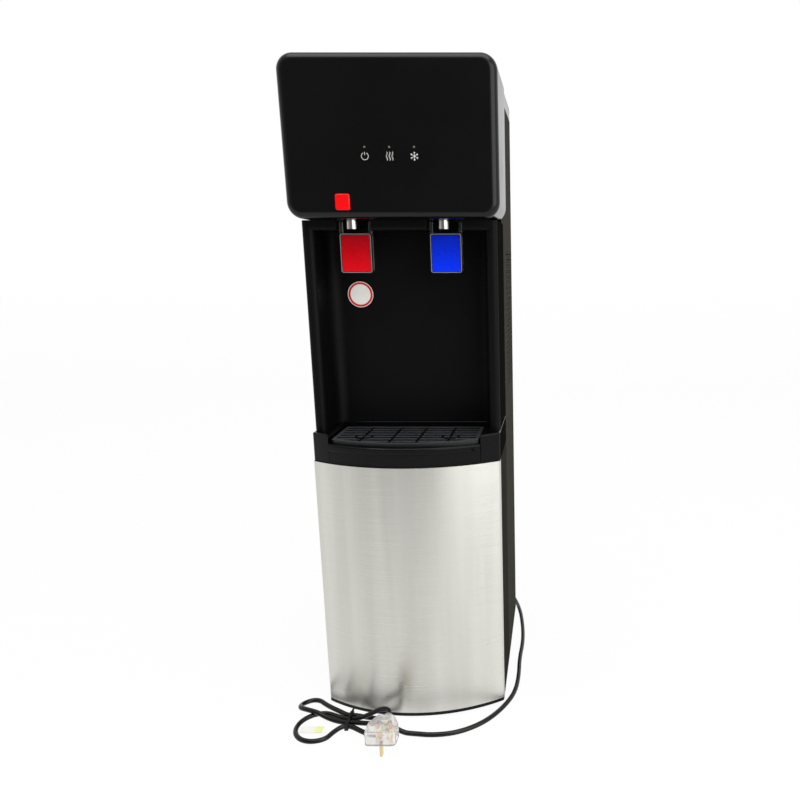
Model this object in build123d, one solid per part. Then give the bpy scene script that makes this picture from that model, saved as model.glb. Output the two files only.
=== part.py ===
from build123d import *
import math
import os

# A floor-standing hot and cold water dispenser, in millimetres.
# X runs to the viewer's right, Y to the back, Z up; the floor is Z = 0 and the cabinet is centred over it.

# Overall sizes
WIDTH = 310.0
DEPTH = 390.0
HEIGHT = 1072.0
BOW = 45.0
CORNER_R = 5.0

# Heights of the stacked front mouldings
FOOT_H = 4.0
BASE_TOP = 10.0
SKIN_TOP = 447.0
POST_TOP = 495.0
HEAD_H = 236.0
LINTEL_H = 16.0
TOP_H = 30.0

# Depths, measured back from the side edges of the bowed front
CHEEK_SETBACK = 15.0
ALCOVE_DEPTH = 73.0
FRONT_MODULE = 135.0
BACK_RECESS = 16.0

# Walls and clearances
WALL = 3.0
SHEET = 1.0
SKIN_GAP = 0.2
FIT_GAP = 0.3
RUN_GAP = 0.05

# Base and feet
RIM_H = 30.0
RIM_LENGTH = 330.0
FOOT_R = 14.0
FOOT_SIDE = 43.0
FOOT_FRONT = 45.0
FOOT_REAR = 35.0

# Lower front
SKIN_RETURN = 12.0
CARRIER_FLANGE = 15.0
CARRIER_FLANGE_T = 4.0

# Drip tray and its housing
HOUSING_SETBACK = 3.0
POST_W = 30.5
POCKET_FLOOR = 3.0
POCKET_CLEAR = 2.0
TRAY_GAP = 0.7
TRAY_WALL = 2.5
LIP_BOTTOM = 468.0
LIP_TOP = 480.0
LEDGE_Z = 476.0
LEDGE_W = 4.0
LIP_DEPTH = 9.0
LIP_R = 3.0
NOTCH = 6.0
NOTCH_END = 10.0
NOTCH_DEPTH = 2.0
POST_EDGE_R = 2.5
GRILLE_TOP = 486.0
GRILLE_BORDER = 6.0
RIB_PITCH = 16.0
RIB_SLOT = 8.0
BAR_DROP = 2.5
DIVIDER_W = 5.0
DIVIDER_X = 22.0
RING_OUT = 16.0
RING_IN = 11.0

# Alcove
CHEEK_W = 19.0
CHEEK_OUT_R = 8.0
CHEEK_IN_R = 9.0
ALCOVE_R = 20.0
LINTEL_R = 6.0
TAP_SLOT_HALF = 28.0
TAP_SLOT_DEPTH = 43.0
TAP_SLOT_GAP = 2.0

# Head cover
HEAD_R = 25.0
HEAD_EDGE_R = 12.0
HEAD_LEAN = 6.0
HEAD_OVER = 7.5
HEAD_SETBACK = 15.0
HEAD_RETURN = 12.5
HEAD_RETURN_Z = 8.0

# Taps and levers
TAP_X = 72.0
TAP_HALF = 15.0
TAP_FRONT = 16.0
TAP_LENGTH = 46.0
TAP_LOW = 5.0
TAP_H = 42.0
TAP_EAR = 6.0
TAP_EAR_L = 24.0
TAP_EAR_T = 4.0
TAP_BOSS_R = 8.0
TAP_BOSS_L = 7.0
WATER_R = 5.0
INLET_R = 8.0
INLET_L = 10.0
INLET_RISE = 27.0
NOZZLE_Y = 5.0
NOZZLE_R = 9.0
NOZZLE_BORE = 6.0
NOZZLE_DROP = 14.0
PIVOT_Y = 17.0
PIVOT_RISE = 12.0
PIN_R = 2.0
EYE_R = 6.0
LEVER_HALF = 25.0
LEVER_RAIL = 3.5
LEVER_Y = 8.0
LEVER_DEPTH = 14.0
RAIL_DEPTH = 10.0
LEVER_DROP = 82.0
LEVER_H = 62.0
LEVER_R = 3.0
INSERT_HALF = 22.5
INSERT_H = 57.0
INSERT_T = 1.5
LEVER_FACE = 1.9
SPRING_WALL = 1.8
PIN_OVER = 1.0

# Child lock button
BUTTON_X = -74.5
BUTTON_RISE = 24.5
BUTTON_W = 22.0
BUTTON_H = 24.0
BUTTON_PROUD = 2.5
BUTTON_R = 2.0
BUTTON_LIP = 2.0
BUTTON_STEM_R = 3.0
BUTTON_STEM_L = 8.0
LOCK_TRAVEL = 2.5

# Control board and indicator lights
BOARD_HALF = 58.0
BOARD_RISE = 71.0
BOARD_H = 56.0
BOARD_T = 1.6
BOARD_GAP = 16.0
BOSS_R = 3.5
BOSS_INSET = 8.0
CHIP_T = 8.0
RELAY = (-44.0, 14.0, 20.0, 16.0)
SOCKET = (18.0, 12.0, 28.0, 10.0)
LIGHT_R = 1.5
LIGHT_RISE = 103.5
LIGHT_PITCH = 37.0
LIGHT_PROUD = 0.3

# Bottle seat and top cover
SEAT_MARGIN = 9.0
SEAT_FRONT = 23.0
SEAT_LEDGE = 8.0
FLANGE_T = 3.0
SEAT_GAP = 0.5
COLLAR_R = 29.0
COLLAR_WALL = 4.0
COLLAR_DROP = 60.0
COLLAR_H = 44.0
TOP_T = 6.0
TOP_BACK_R = 6.0
TOP_SIDE_R = 8.0

# Side louvres
LOUVRE_COUNT = 26
LOUVRE_PITCH = 10.0
LOUVRE_H = 4.0
LOUVRE_DROP = 262.0
LOUVRE_FRONT = 50.0
LOUVRE_REAR = 25.0
FLANGE_W = 12.0

# Water tanks and their shelves
TANK_R = 78.0
TANK_DROP = 21.0
TANK_BELOW_TOP = 72.0
TANK_WALL = 1.2
MOUTH_R = 38.0
EVAPORATOR_T = 6.0
EVAPORATOR_RISE = 65.0
EVAPORATOR_H = 90.0
FOAM_T = 10.0
FOAM_FLOOR = 18.0
FOAM_GAP = 2.0
SHELF_T = 4.0
HOT_R = 55.0
HOT_DROP = 237.0
HOT_H = 160.0
BAND_T = 5.0
BAND_RISE = 30.0
BAND_H = 60.0
FEED_R = 6.0
PIPE_R = 5.0
TUBE_BEND = 0.45
HOSE_START = (-25.0, 35.0)
HOSE_MIDDLE = (-48.0, 73.0)
HOSE_RISE_Y = 99.0
HOSE_STEPS = (0.35, 0.65, 0.94)
HOSE_BEND_Z = 2.0
HOSE_BEND_Y = 22.0
THERMOSTAT_R = 9.0
THERMOSTAT_T = 6.0
THERMOSTAT_X = 14.0
DRAIN_R = 8.0
DRAIN_RISE = 15.0
DRAIN_CAP_R = 13.0
DRAIN_CAP_L = 11.0

# Cooling circuit
COMP_R = 72.0
COMP_BOTTOM = 31.0
COMP_TOP = 165.0
COMP_ROUND = 24.0
COMP_PLATE_X = 95.0
COMP_PLATE_Y = 68.0
COMP_PLATE_T = 3.0
GROMMET_R = 12.0
GROMMET_X = 78.0
GROMMET_Y = 52.0
LINE_R = 3.0
SUCTION_R = 2.8
CAPILLARY_R = 1.2
CAPILLARY_OFFSET = 10.0
STUB_X = 35.0
STUB_RISE = 45.0
SUCTION_RISE = 105.0
COND_LOW = 200.0
COND_CLEAR = 55.0
COND_PASSES = 9
COND_SIDE = 35.0
COND_BEND = 0.475
COND_EXIT = 22.0
COND_Y = 7.0
WIRE_R = 1.0
WIRE_PITCH = 11.0
WIRE_COUNT = 19
WIRE_OVER = 15.0
CLIP_W = 12.0
CLIP_H = 8.0
CLIP_X = 80.0
DRIER_R = 9.0
DRIER_IN = 58.0
DRIER_DROP = 30.0
DRIER_H = 90.0

# Rear switches
SWITCH_X = 30.0
SWITCH_DROP = 40.0
SWITCH_HALF_W = 10.5
SWITCH_HALF_H = 13.5
SWITCH_DEPTH = 14.0
SWITCH_BEZEL = 2.5
SWITCH_WALL = 2.5
ROCKER_GAP = 0.4
ROCKER_TILT = 7.0
TRUNNION_R = 1.2
TRUNNION_IN = 1.0
TRUNNION_CLEAR = 0.5
ROCKER_SINK = 1.0
ROCKER_BACK = 2.0
ROCKER_EDGE = 4.2
ROCKER_MIDDLE = 2.6

# Mains lead, its gland and plug
CORD_D = 8.0
CORD_LIFT = 0.2
CROSS_GAP = 1.2
GLAND_X = 75.0
GLAND_Z = 40.0
GLAND_R = 8.0
GLAND_TIP_R = 5.5
GLAND_L = 28.0
GLAND_FLANGE_R = 12.0
GLAND_FLANGE_T = 2.0
TIE_IN = 51.0
TIE_W = 6.0
TIE_T = 1.0
LANE_OUT = 29.0
LANE_PITCH = 9.5
LANE_Z = 5.8
LANES = 4
LANE_HALF = 7.0
TAG_W = 16.0
TAG_L = 38.0
TAG_T = 0.6
TAG_OUT = 25.1
TAG_FRONT = 36.0
PLUG_IN = 125.0
PLUG_OUT = 41.0
PLUG_FACE_Z = 22.9
PLUG_T = 24.0
PLUG_HALF = 25.0
PLUG_SHOULDER = 13.0
PLUG_NECK_L = 12.0
PLUG_LENGTH = 48.0
PLUG_WALL = 2.0
PLUG_CORNER_R = 7.0
PLUG_TOP_R = 4.0
PLUG_WIDEST = 0.45
NECK_SINK = 2.0
NECK_R = 7.0
PIN_SPACING = 22.2
LIVE_PIN = (6.35, 4.0, 17.7)
EARTH_PIN = (4.0, 8.0, 22.7)
LIVE_PIN_Y = 17.0
FUSE_R = 3.15
FUSE_L = 25.0
FUSE_SHIFT = 7.0

# Fasteners
SCREW_R = 4.0
SCREW_HEAD = 2.4
SCREW_COUNT = 5

# Places worked out from the sizes above
HEAD_BOTTOM = HEIGHT - HEAD_H
LINTEL_BOTTOM = HEAD_BOTTOM - LINTEL_H
SIDE_TOP = HEIGHT - TOP_H
HALF = WIDTH / 2
HEAD_HALF = HALF + HEAD_OVER
POCKET_HALF = HALF - POST_W
ALCOVE_HALF = HALF - CHEEK_W
FOOT_X = HALF - FOOT_SIDE
FRONT = -DEPTH / 2
HEAD_FRONT = FRONT + HEAD_SETBACK
BACK = DEPTH / 2
EDGE = FRONT + BOW
BOW_R = (HALF ** 2 + BOW ** 2) / (2 * BOW)
BOW_CENTRE = FRONT + BOW_R
CHEEK = EDGE + CHEEK_SETBACK
ALCOVE_WALL = CHEEK + ALCOVE_DEPTH
SEAM = EDGE + FRONT_MODULE
PANEL_Y = BACK - BACK_RECESS - SHEET
PANEL_OUT = BACK - BACK_RECESS
CARRIER_INSET = SKIN_GAP + SHEET
RIM_INSET = CARRIER_INSET + WALL + FIT_GAP
POCKET_BACK = ALCOVE_WALL - POCKET_CLEAR
TRAY_HALF = POCKET_HALF - TRAY_GAP
TRAY_BACK = POCKET_BACK - TRAY_GAP
NOTCH_X = TRAY_HALF - NOTCH_END
TRAY_BOTTOM = SKIN_TOP + POCKET_FLOOR + FIT_GAP
TAP_Y = CHEEK - TAP_FRONT
NOZZLE_CENTRE = CHEEK - NOZZLE_Y
NOZZLE_BOTTOM = HEAD_BOTTOM - NOZZLE_DROP
LEVER_FRONT = CHEEK + LEVER_Y
PIVOT = CHEEK + PIVOT_Y
PIVOT_Z = HEAD_BOTTOM + PIVOT_RISE
LEVER_BOTTOM = HEAD_BOTTOM - LEVER_DROP
LEVER_TOP = LEVER_BOTTOM + LEVER_H
INLET_Z = HEAD_BOTTOM + INLET_RISE
BUTTON_Z = HEAD_BOTTOM + BUTTON_RISE
BOARD_Z = HEAD_BOTTOM + BOARD_RISE
LIGHT_Z = HEAD_BOTTOM + LIGHT_RISE
COLLAR_TOP = HEIGHT - COLLAR_DROP
COLLAR_BOTTOM = COLLAR_TOP - COLLAR_H
TAP_BOTTOM = HEAD_BOTTOM + TAP_LOW
INLET_END = TAP_Y + TAP_LENGTH + INLET_L
CORD_R = CORD_D / 2
CORD_Z = CORD_R + CORD_LIFT
GLAND_END = PANEL_OUT + GLAND_L
TANK_BOTTOM = HEAD_BOTTOM - TANK_DROP
TANK_TOP = HEIGHT - TANK_BELOW_TOP
EVAPORATOR_Z = TANK_BOTTOM + EVAPORATOR_RISE
FOAM_R = TANK_R + EVAPORATOR_T + FOAM_T
SEAT_Y = PANEL_Y - FOAM_R - FOAM_GAP
FLANGE_R = BACK - SEAT_Y - SEAT_MARGIN
SEAT_R = FLANGE_R - SEAT_LEDGE
HEAD_BACK = SEAT_Y - FLANGE_R - SEAT_FRONT
SHELF_Z = TANK_BOTTOM - FOAM_FLOOR
HOT_BOTTOM = SHELF_Z - HOT_DROP
HOT_TOP = HOT_BOTTOM + HOT_H
BAND_Z = HOT_BOTTOM + BAND_RISE
DRAIN_Z = HOT_BOTTOM + DRAIN_RISE
SWITCH_Z = SHELF_Z - SWITCH_DROP
LOUVRE_Z = SHELF_Z - LOUVRE_DROP
ROCKER_Y = PANEL_OUT - ROCKER_SINK
COND_CENTRE = PANEL_OUT + COND_Y
COND_HALF = HALF - COND_SIDE
COND_TOP = DRAIN_Z - COND_CLEAR
COND_PITCH = (COND_TOP - COND_LOW) / (COND_PASSES - 1)
DRIER_Y = PANEL_Y - DRIER_IN
DRIER_TOP = COND_TOP - DRIER_DROP
SUCTION_X = -(TANK_R + EVAPORATOR_T / 2)
CAPILLARY_X = SUCTION_X - CAPILLARY_OFFSET
TIE_X = TIE_IN - HALF
LANE_FRONT = FRONT - LANE_OUT
PLUG_X = PLUG_IN - HALF
PLUG_NECK = FRONT - PLUG_OUT
PLUG_AXIS = PLUG_FACE_Z + PLUG_T / 2 - NECK_SINK


def block(x, y, z):
    size = [high - low for low, high in (x, y, z)]
    middle = [(high + low) / 2 for low, high in (x, y, z)]
    return Pos(*middle) * Box(*size)


def rod(radius, x, y, z):
    return Pos(x, y, (z[0] + z[1]) / 2) * Cylinder(radius, z[1] - z[0])


def rod_y(radius, x, y, z):
    return Pos(x, (y[0] + y[1]) / 2, z) * Rot(90, 0, 0) * Cylinder(radius, y[1] - y[0])


def rod_x(radius, x, y, z):
    return Pos((x[0] + x[1]) / 2, y, z) * Rot(0, 90, 0) * Cylinder(radius, x[1] - x[0])


def both(shape):
    return shape + mirror(shape, about=Plane.YZ)


def prism(face, low, high):
    return Pos(0, 0, low) * extrude(face, amount=high - low, dir=(0, 0, 1))


def save(name, *shapes):
    solids = [solid for shape in shapes for solid in shape.solids()]
    shape = solids[0] if len(solids) == 1 else Compound(children=solids)
    export_step(shape, f"parts/{name}.step")


def bow_y(x, inset):
    return BOW_CENTRE - math.sqrt((BOW_R - inset) ** 2 - x ** 2)


def plan(inset, back, half=None, corner=0.0):
    # Outline seen from above: straight sides and back, with the bowed front set in by the inset
    half = HALF - inset if half is None else half
    edge = bow_y(half, inset)
    front = ThreePointArc((-half, edge), (0, FRONT + inset), (half, edge))
    sides = Polyline((half, edge), (half, back), (-half, back), (-half, edge))
    face = make_face([*front.edges(), *sides.edges()])
    if corner:
        face = fillet(face.vertices().sort_by(Axis.Y)[:2], corner)
    return face


def head_front(z):
    return HEAD_FRONT + HEAD_LEAN * (HEIGHT - z) / HEAD_H


# Base pan: a moulded floor with a rim that the front carrier and the side panels stand around
def base_pan():
    floor = prism(plan(0, BACK, corner=CORNER_R), FOOT_H, BASE_TOP)
    rim_back = BACK - (DEPTH - RIM_LENGTH)
    rim = plan(RIM_INSET, rim_back) - plan(RIM_INSET + WALL, rim_back + 1)
    return floor + prism(rim, BASE_TOP, BASE_TOP + RIM_H)


def base_feet():
    spots = [(side * FOOT_X, y) for side in (-1, 1) for y in (FRONT + FOOT_FRONT + FOOT_R, BACK - FOOT_REAR)]
    return [rod(FOOT_R, x, y, (0, FOOT_H)) for x, y in spots]


# Lower front: a bowed steel sheet with folded side returns, backed by a black moulded carrier
def front_skin():
    back = EDGE + SKIN_RETURN
    sheet = plan(0, back, corner=CORNER_R) - plan(SHEET, back + 1, corner=CORNER_R - SHEET)
    return prism(sheet, BASE_TOP, SKIN_TOP)


def front_carrier():
    outer = plan(CARRIER_INSET, SEAM, corner=CORNER_R - CARRIER_INSET)
    inner = plan(CARRIER_INSET + WALL, SEAM + 1)
    wall = prism(outer - inner, BASE_TOP, SKIN_TOP)
    flange = inner - plan(CARRIER_INSET + WALL + CARRIER_FLANGE, SEAM + 2)
    flange = flange & (Pos(0, SEAM - DEPTH / 2) * Rectangle(WIDTH, DEPTH))
    wall = wall + prism(flange, SKIN_TOP - CARRIER_FLANGE_T, SKIN_TOP)
    pad_front = EDGE + SKIN_RETURN + FIT_GAP
    pad = block((HALF - CARRIER_INSET - WALL, HALF), (pad_front, SEAM), (BASE_TOP, SKIN_TOP))
    return wall + both(pad)


# Tray housing: two hollow posts with the tray's pocket between them
def tray_housing():
    body = prism(plan(HOUSING_SETBACK, SEAM, half=HALF, corner=CORNER_R), SKIN_TOP, POST_TOP)
    pocket = block((-POCKET_HALF, POCKET_HALF), (FRONT - 1, POCKET_BACK), (SKIN_TOP + POCKET_FLOOR, POST_TOP + 1))
    body = body - pocket
    body = fillet(body.faces().sort_by(Axis.Z)[-1].edges(), POST_EDGE_R)
    hollow_front = bow_y(HALF - WALL, HOUSING_SETBACK) + WALL + CORNER_R
    post = block((POCKET_HALF + WALL, HALF - WALL), (hollow_front, SEAM + 1), (SKIN_TOP - 1, POST_TOP - WALL))
    bridge = block((-HALF + WALL, HALF - WALL), (POCKET_BACK + WALL, SEAM + 1), (SKIN_TOP - 1, POST_TOP - WALL))
    return body - both(post) - bridge


def drip_tray():
    apron = prism(plan(HOUSING_SETBACK, TRAY_BACK, half=TRAY_HALF), TRAY_BOTTOM, LIP_BOTTOM)
    lip = prism(plan(0, TRAY_BACK, half=TRAY_HALF), LIP_BOTTOM, LIP_TOP)
    seat = plan(LIP_DEPTH, TRAY_BACK - TRAY_WALL, half=TRAY_HALF - TRAY_WALL)
    basin_back = TRAY_BACK - TRAY_WALL - LEDGE_W
    basin = plan(LIP_DEPTH + LEDGE_W, basin_back, half=TRAY_HALF - TRAY_WALL - LEDGE_W)
    lip = fillet(lip.edges().filter_by(GeomType.CIRCLE), LIP_R)
    tray = apron + lip
    tray = tray - prism(seat, LEDGE_Z, LIP_TOP + 1) - prism(basin, TRAY_BOTTOM + TRAY_WALL, LIP_TOP)
    lip_middle = (LIP_BOTTOM + LIP_TOP) / 2
    notch_y = bow_y(NOTCH_X, 0) + NOTCH_DEPTH
    notch = block(
        (NOTCH_X - NOTCH / 2, NOTCH_X + NOTCH / 2),
        (FRONT, notch_y),
        (lip_middle - NOTCH / 2, lip_middle + NOTCH / 2),
    )
    return tray - notch


def drip_grille():
    half = TRAY_HALF - TRAY_WALL - TRAY_GAP
    back = TRAY_BACK - TRAY_WALL - TRAY_GAP
    inset = LIP_DEPTH + TRAY_GAP
    plate = plan(inset, back, half=half)
    field = plan(inset + GRILLE_BORDER, back - GRILLE_BORDER, half=half - GRILLE_BORDER)
    rows = int((back - FRONT - inset) / RIB_PITCH)
    slots = [Pos(0, back - GRILLE_BORDER - RIB_PITCH * (n + 0.5)) * Rectangle(WIDTH, RIB_SLOT) for n in range(rows)]
    bars = [Pos(x, 0) * Rectangle(DIVIDER_W, DEPTH) for x in (-TAP_X, -DIVIDER_X, DIVIDER_X, TAP_X)]
    rings = [Pos(side * TAP_X, NOZZLE_CENTRE) * (Circle(RING_OUT) - Circle(RING_IN)) for side in (-1, 1)]
    joins = Sketch() + bars + rings
    cut = ((Sketch() + slots) & field) - joins
    grille = prism(plate, LEDGE_Z, GRILLE_TOP)
    grille = grille - prism(cut, LEDGE_Z - 1, GRILLE_TOP + 1)
    return grille - prism(joins & field, GRILLE_TOP - BAR_DROP, GRILLE_TOP + 1)


# Alcove panel: two rounded cheeks, the recessed back wall and the lintel that the taps hang through
def cheek_outline(wall, back):
    outer, inner = HALF - wall, ALCOVE_HALF + wall
    front, deep = CHEEK + wall, ALCOVE_WALL + wall
    right = [(inner, deep), (inner, front), (outer, front), (outer, back)]
    left = [(-x, y) for x, y in reversed(right)]
    face = make_face(Polyline(*left, *right, close=True).edges())

    def near(points):
        return [v for v in face.vertices() if any(math.dist((v.X, v.Y), p) < 0.01 for p in points)]

    for points, radius in (
        ([(-outer, front), (outer, front)], CHEEK_OUT_R - wall),
        ([(-inner, front), (inner, front)], CHEEK_IN_R - wall),
        ([(-inner, deep), (inner, deep)], ALCOVE_R + wall),
    ):
        face = fillet(near(points), radius)
    return face


def tap_slots(low, high):
    slot = (TAP_Y - TAP_SLOT_GAP, CHEEK + TAP_SLOT_DEPTH)
    return both(block((TAP_X - TAP_SLOT_HALF, TAP_X + TAP_SLOT_HALF), slot, (low, high)))


def alcove_panel():
    walls = cheek_outline(0, SEAM) - cheek_outline(WALL, SEAM + 1)
    panel = prism(walls, POST_TOP, HEAD_BOTTOM)
    lintel_half = ALCOVE_HALF + CHEEK_IN_R
    lintel = block((-lintel_half, lintel_half), (CHEEK, ALCOVE_WALL + WALL / 2), (LINTEL_BOTTOM, HEAD_BOTTOM))
    nose = lintel.edges().filter_by(Axis.X).group_by(Axis.Z)[0].sort_by(Axis.Y)[0]
    lintel = fillet(nose, LINTEL_R)
    return panel + lintel - tap_slots(LINTEL_BOTTOM - 1, HEAD_BOTTOM + 1)


# Head cover: a rounded box, open at the back, whose front leans out a little at the top
def head_form(wall, back):
    low, high = HEAD_BOTTOM + wall, HEIGHT - wall
    corners = [(head_front(low) + wall, low), (back, low), (back, high), (head_front(high) + wall, high)]
    profile = Plane.YZ * make_face(Polyline(*corners, close=True).edges())
    form = extrude(profile, HEAD_HALF - wall, both=True)
    form = fillet(form.edges().filter_by(Axis.Y), HEAD_R - wall)
    return fillet(form.faces().sort_by(Axis.Y)[0].edges(), HEAD_EDGE_R - wall)


def light_places():
    return [(n * LIGHT_PITCH, LIGHT_Z) for n in (-1, 0, 1)]


def board_front():
    return head_front(BOARD_Z) + BOARD_GAP


def head_cover():
    # The back is turned in so that the wider head closes against the side panels and the top cover
    cover = head_form(0, HEAD_BACK) - head_form(WALL, HEAD_BACK - WALL)
    mouth_half = HEAD_HALF - HEAD_RETURN
    cover = cover - block(
        (-mouth_half, mouth_half),
        (HEAD_BACK - WALL * 2, HEAD_BACK + 1),
        (HEAD_BOTTOM + WALL, HEIGHT - HEAD_RETURN_Z),
    )
    spots = [
        (side * (BOARD_HALF - BOSS_INSET), z)
        for side in (-1, 1)
        for z in (BOARD_Z + BOSS_INSET, BOARD_Z + BOARD_H - BOSS_INSET)
    ]
    for x, z in spots:
        cover = cover + rod_y(BOSS_R, x, (head_front(z) + WALL / 2, board_front()), z)
    for x, z in light_places():
        cover = cover - rod_y(LIGHT_R + RUN_GAP, x, (HEAD_FRONT - 1, board_front()), z)
    opening = block(
        (BUTTON_X - BUTTON_W / 2 - FIT_GAP, BUTTON_X + BUTTON_W / 2 + FIT_GAP),
        (HEAD_FRONT - 1, HEAD_FRONT + HEAD_EDGE_R + HEAD_LEAN),
        (BUTTON_Z - BUTTON_H / 2 - FIT_GAP, BUTTON_Z + BUTTON_H / 2 + FIT_GAP),
    )
    return cover - opening - tap_slots(HEAD_BOTTOM - 1, HEAD_BOTTOM + WALL + 1)


def control_board():
    board = block(
        (-BOARD_HALF, BOARD_HALF),
        (board_front(), board_front() + BOARD_T),
        (BOARD_Z, BOARD_Z + BOARD_H),
    )
    chip_y = (board_front() + BOARD_T, board_front() + BOARD_T + CHIP_T)
    for x, rise, wide, tall in (RELAY, SOCKET):
        board = board + block((x, x + wide), chip_y, (BOARD_Z + rise, BOARD_Z + rise + tall))
    return board


def indicator_lights():
    return [
        rod_y(LIGHT_R, x, (head_front(z) - LIGHT_PROUD, board_front()), z)
        for x, z in light_places()
    ]


# Child lock: a sprung push button held behind the head's front wall
def lock_button():
    face = head_front(BUTTON_Z)
    half_w, half_h = BUTTON_W / 2, BUTTON_H / 2
    x = (BUTTON_X - half_w, BUTTON_X + half_w)
    z = (BUTTON_Z - half_h, BUTTON_Z + half_h)
    lip_front = face + WALL + FIT_GAP * 2
    cap = block(x, (face - BUTTON_PROUD, lip_front), z)
    cap = fillet(cap.faces().sort_by(Axis.Y)[0].edges(), BUTTON_R)
    lip = block(
        (x[0] - BUTTON_LIP, x[1] + BUTTON_LIP),
        (lip_front, lip_front + BUTTON_LIP),
        (z[0] - BUTTON_LIP, z[1] + BUTTON_LIP),
    )
    stem_front = lip_front + BUTTON_LIP
    stem = rod_y(BUTTON_STEM_R, BUTTON_X, (stem_front, stem_front + BUTTON_STEM_L), BUTTON_Z)
    return cap + lip + stem


def lock_spring():
    lip_back = head_front(BUTTON_Z) + WALL + FIT_GAP * 2 + BUTTON_LIP
    span = (lip_back + LOCK_TRAVEL + RUN_GAP, TAP_Y - TAP_BOSS_L)
    inner = BUTTON_STEM_R + FIT_GAP * 2
    return rod_y(inner + SPRING_WALL, BUTTON_X, span, BUTTON_Z) - rod_y(inner, BUTTON_X, span, BUTTON_Z)


# Taps: body with its water way, chrome nozzle, clear push lever, coloured insert, pin and return spring
def tap_body(x, with_boss):
    body = block((x - TAP_HALF, x + TAP_HALF), (TAP_Y, TAP_Y + TAP_LENGTH), (TAP_BOTTOM, TAP_BOTTOM + TAP_H))
    ear = TAP_SLOT_HALF + TAP_EAR
    ears = block(
        (x - ear, x + ear),
        (TAP_Y, TAP_Y + TAP_EAR_L),
        (HEAD_BOTTOM + WALL, HEAD_BOTTOM + WALL + TAP_EAR_T),
    )
    inlet = rod_y(INLET_R, x, (TAP_Y + TAP_LENGTH, INLET_END), INLET_Z)
    body = body + ears + inlet
    if with_boss:
        body = body + rod_y(TAP_BOSS_R, BUTTON_X, (TAP_Y - TAP_BOSS_L, TAP_Y), BUTTON_Z)
    way_down = rod(WATER_R, x, NOZZLE_CENTRE, (HEAD_BOTTOM, INLET_Z))
    way_in = rod_y(WATER_R, x, (NOZZLE_CENTRE, INLET_END + 1), INLET_Z)
    bore = rod_x(PIN_R, (x - TAP_HALF - 1, x + TAP_HALF + 1), PIVOT, PIVOT_Z)
    return body - way_down - way_in - bore


def nozzle(x):
    top = HEAD_BOTTOM + WALL
    tip = rod(NOZZLE_R, x, NOZZLE_CENTRE, (NOZZLE_BOTTOM, top))
    return tip - rod(NOZZLE_BORE, x, NOZZLE_CENTRE, (NOZZLE_BOTTOM - 1, top + 1))


def insert_place(x):
    low = LEVER_BOTTOM + (LEVER_TOP - LEVER_BOTTOM - INSERT_H) / 2
    return (x - INSERT_HALF, x + INSERT_HALF), (low, low + INSERT_H)


def lever(x):
    back = LEVER_FRONT + LEVER_DEPTH
    frame = block((x - LEVER_HALF, x + LEVER_HALF), (LEVER_FRONT, back), (LEVER_BOTTOM, LEVER_TOP))
    frame = fillet(frame.edges().filter_by(Axis.Y), LEVER_R)
    place_x, place_z = insert_place(x)
    face_back = LEVER_FRONT + INSERT_T + LEVER_FACE
    hollow_half = LEVER_HALF - LEVER_RAIL
    hollow = block(
        (x - hollow_half, x + hollow_half),
        (face_back, back + 1),
        (LEVER_BOTTOM + LEVER_RAIL, LEVER_TOP - LEVER_RAIL),
    )
    recess = block(
        (place_x[0] - RUN_GAP, place_x[1] + RUN_GAP),
        (LEVER_FRONT - 1, LEVER_FRONT + INSERT_T),
        (place_z[0] - RUN_GAP, place_z[1] + RUN_GAP),
    )
    frame = frame - hollow
    for side in (-1, 1):
        rail_x = sorted((x + side * (LEVER_HALF - LEVER_RAIL), x + side * LEVER_HALF))
        rail = block(rail_x, (LEVER_FRONT, LEVER_FRONT + RAIL_DEPTH), (LEVER_TOP - LEVER_R * 2, PIVOT_Z))
        frame = frame + rail + rod_x(EYE_R, rail_x, PIVOT, PIVOT_Z)
    eyes = rod_x(PIN_R + RUN_GAP, (x - LEVER_HALF - 1, x + LEVER_HALF + 1), PIVOT, PIVOT_Z)
    return frame - recess - eyes


def lever_insert(x):
    place_x, place_z = insert_place(x)
    return block(place_x, (LEVER_FRONT, LEVER_FRONT + INSERT_T), place_z)


def lever_pin(x):
    return rod_x(PIN_R, (x - LEVER_HALF - PIN_OVER, x + LEVER_HALF + PIN_OVER), PIVOT, PIVOT_Z)


def lever_spring(x):
    span = (x + TAP_HALF, x + LEVER_HALF - LEVER_RAIL - FIT_GAP)
    return rod_x(PIN_R + RUN_GAP + SPRING_WALL, span, PIVOT, PIVOT_Z) - rod_x(PIN_R + RUN_GAP, span, PIVOT, PIVOT_Z)


# Top cover and the lift-out bottle seat that drops into it
def top_form(wall, top, bottom, radius):
    form = block((-HALF + wall, HALF - wall), (HEAD_BACK + wall, BACK - wall), (bottom, top))
    ridges = form.edges().filter_by(Axis.Y).group_by(Axis.Z)[-1]
    return fillet(ridges, radius)


def top_cover():
    cover = top_form(0, HEIGHT, SIDE_TOP, TOP_SIDE_R)
    back_face = cover.faces().sort_by(Axis.Y)[-1]
    rim = [e for e in back_face.edges() if e.center().Z > SIDE_TOP + 1]
    cover = fillet(rim, TOP_BACK_R)
    cover = cover - top_form(WALL, HEIGHT - TOP_T, SIDE_TOP - 1, TOP_SIDE_R - WALL)
    cover = cover - rod(SEAT_R + SEAT_GAP, 0, SEAT_Y, (SIDE_TOP, HEIGHT + 1))
    return cover - rod(FLANGE_R + SEAT_GAP, 0, SEAT_Y, (HEIGHT - FLANGE_T, HEIGHT + 1))


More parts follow.
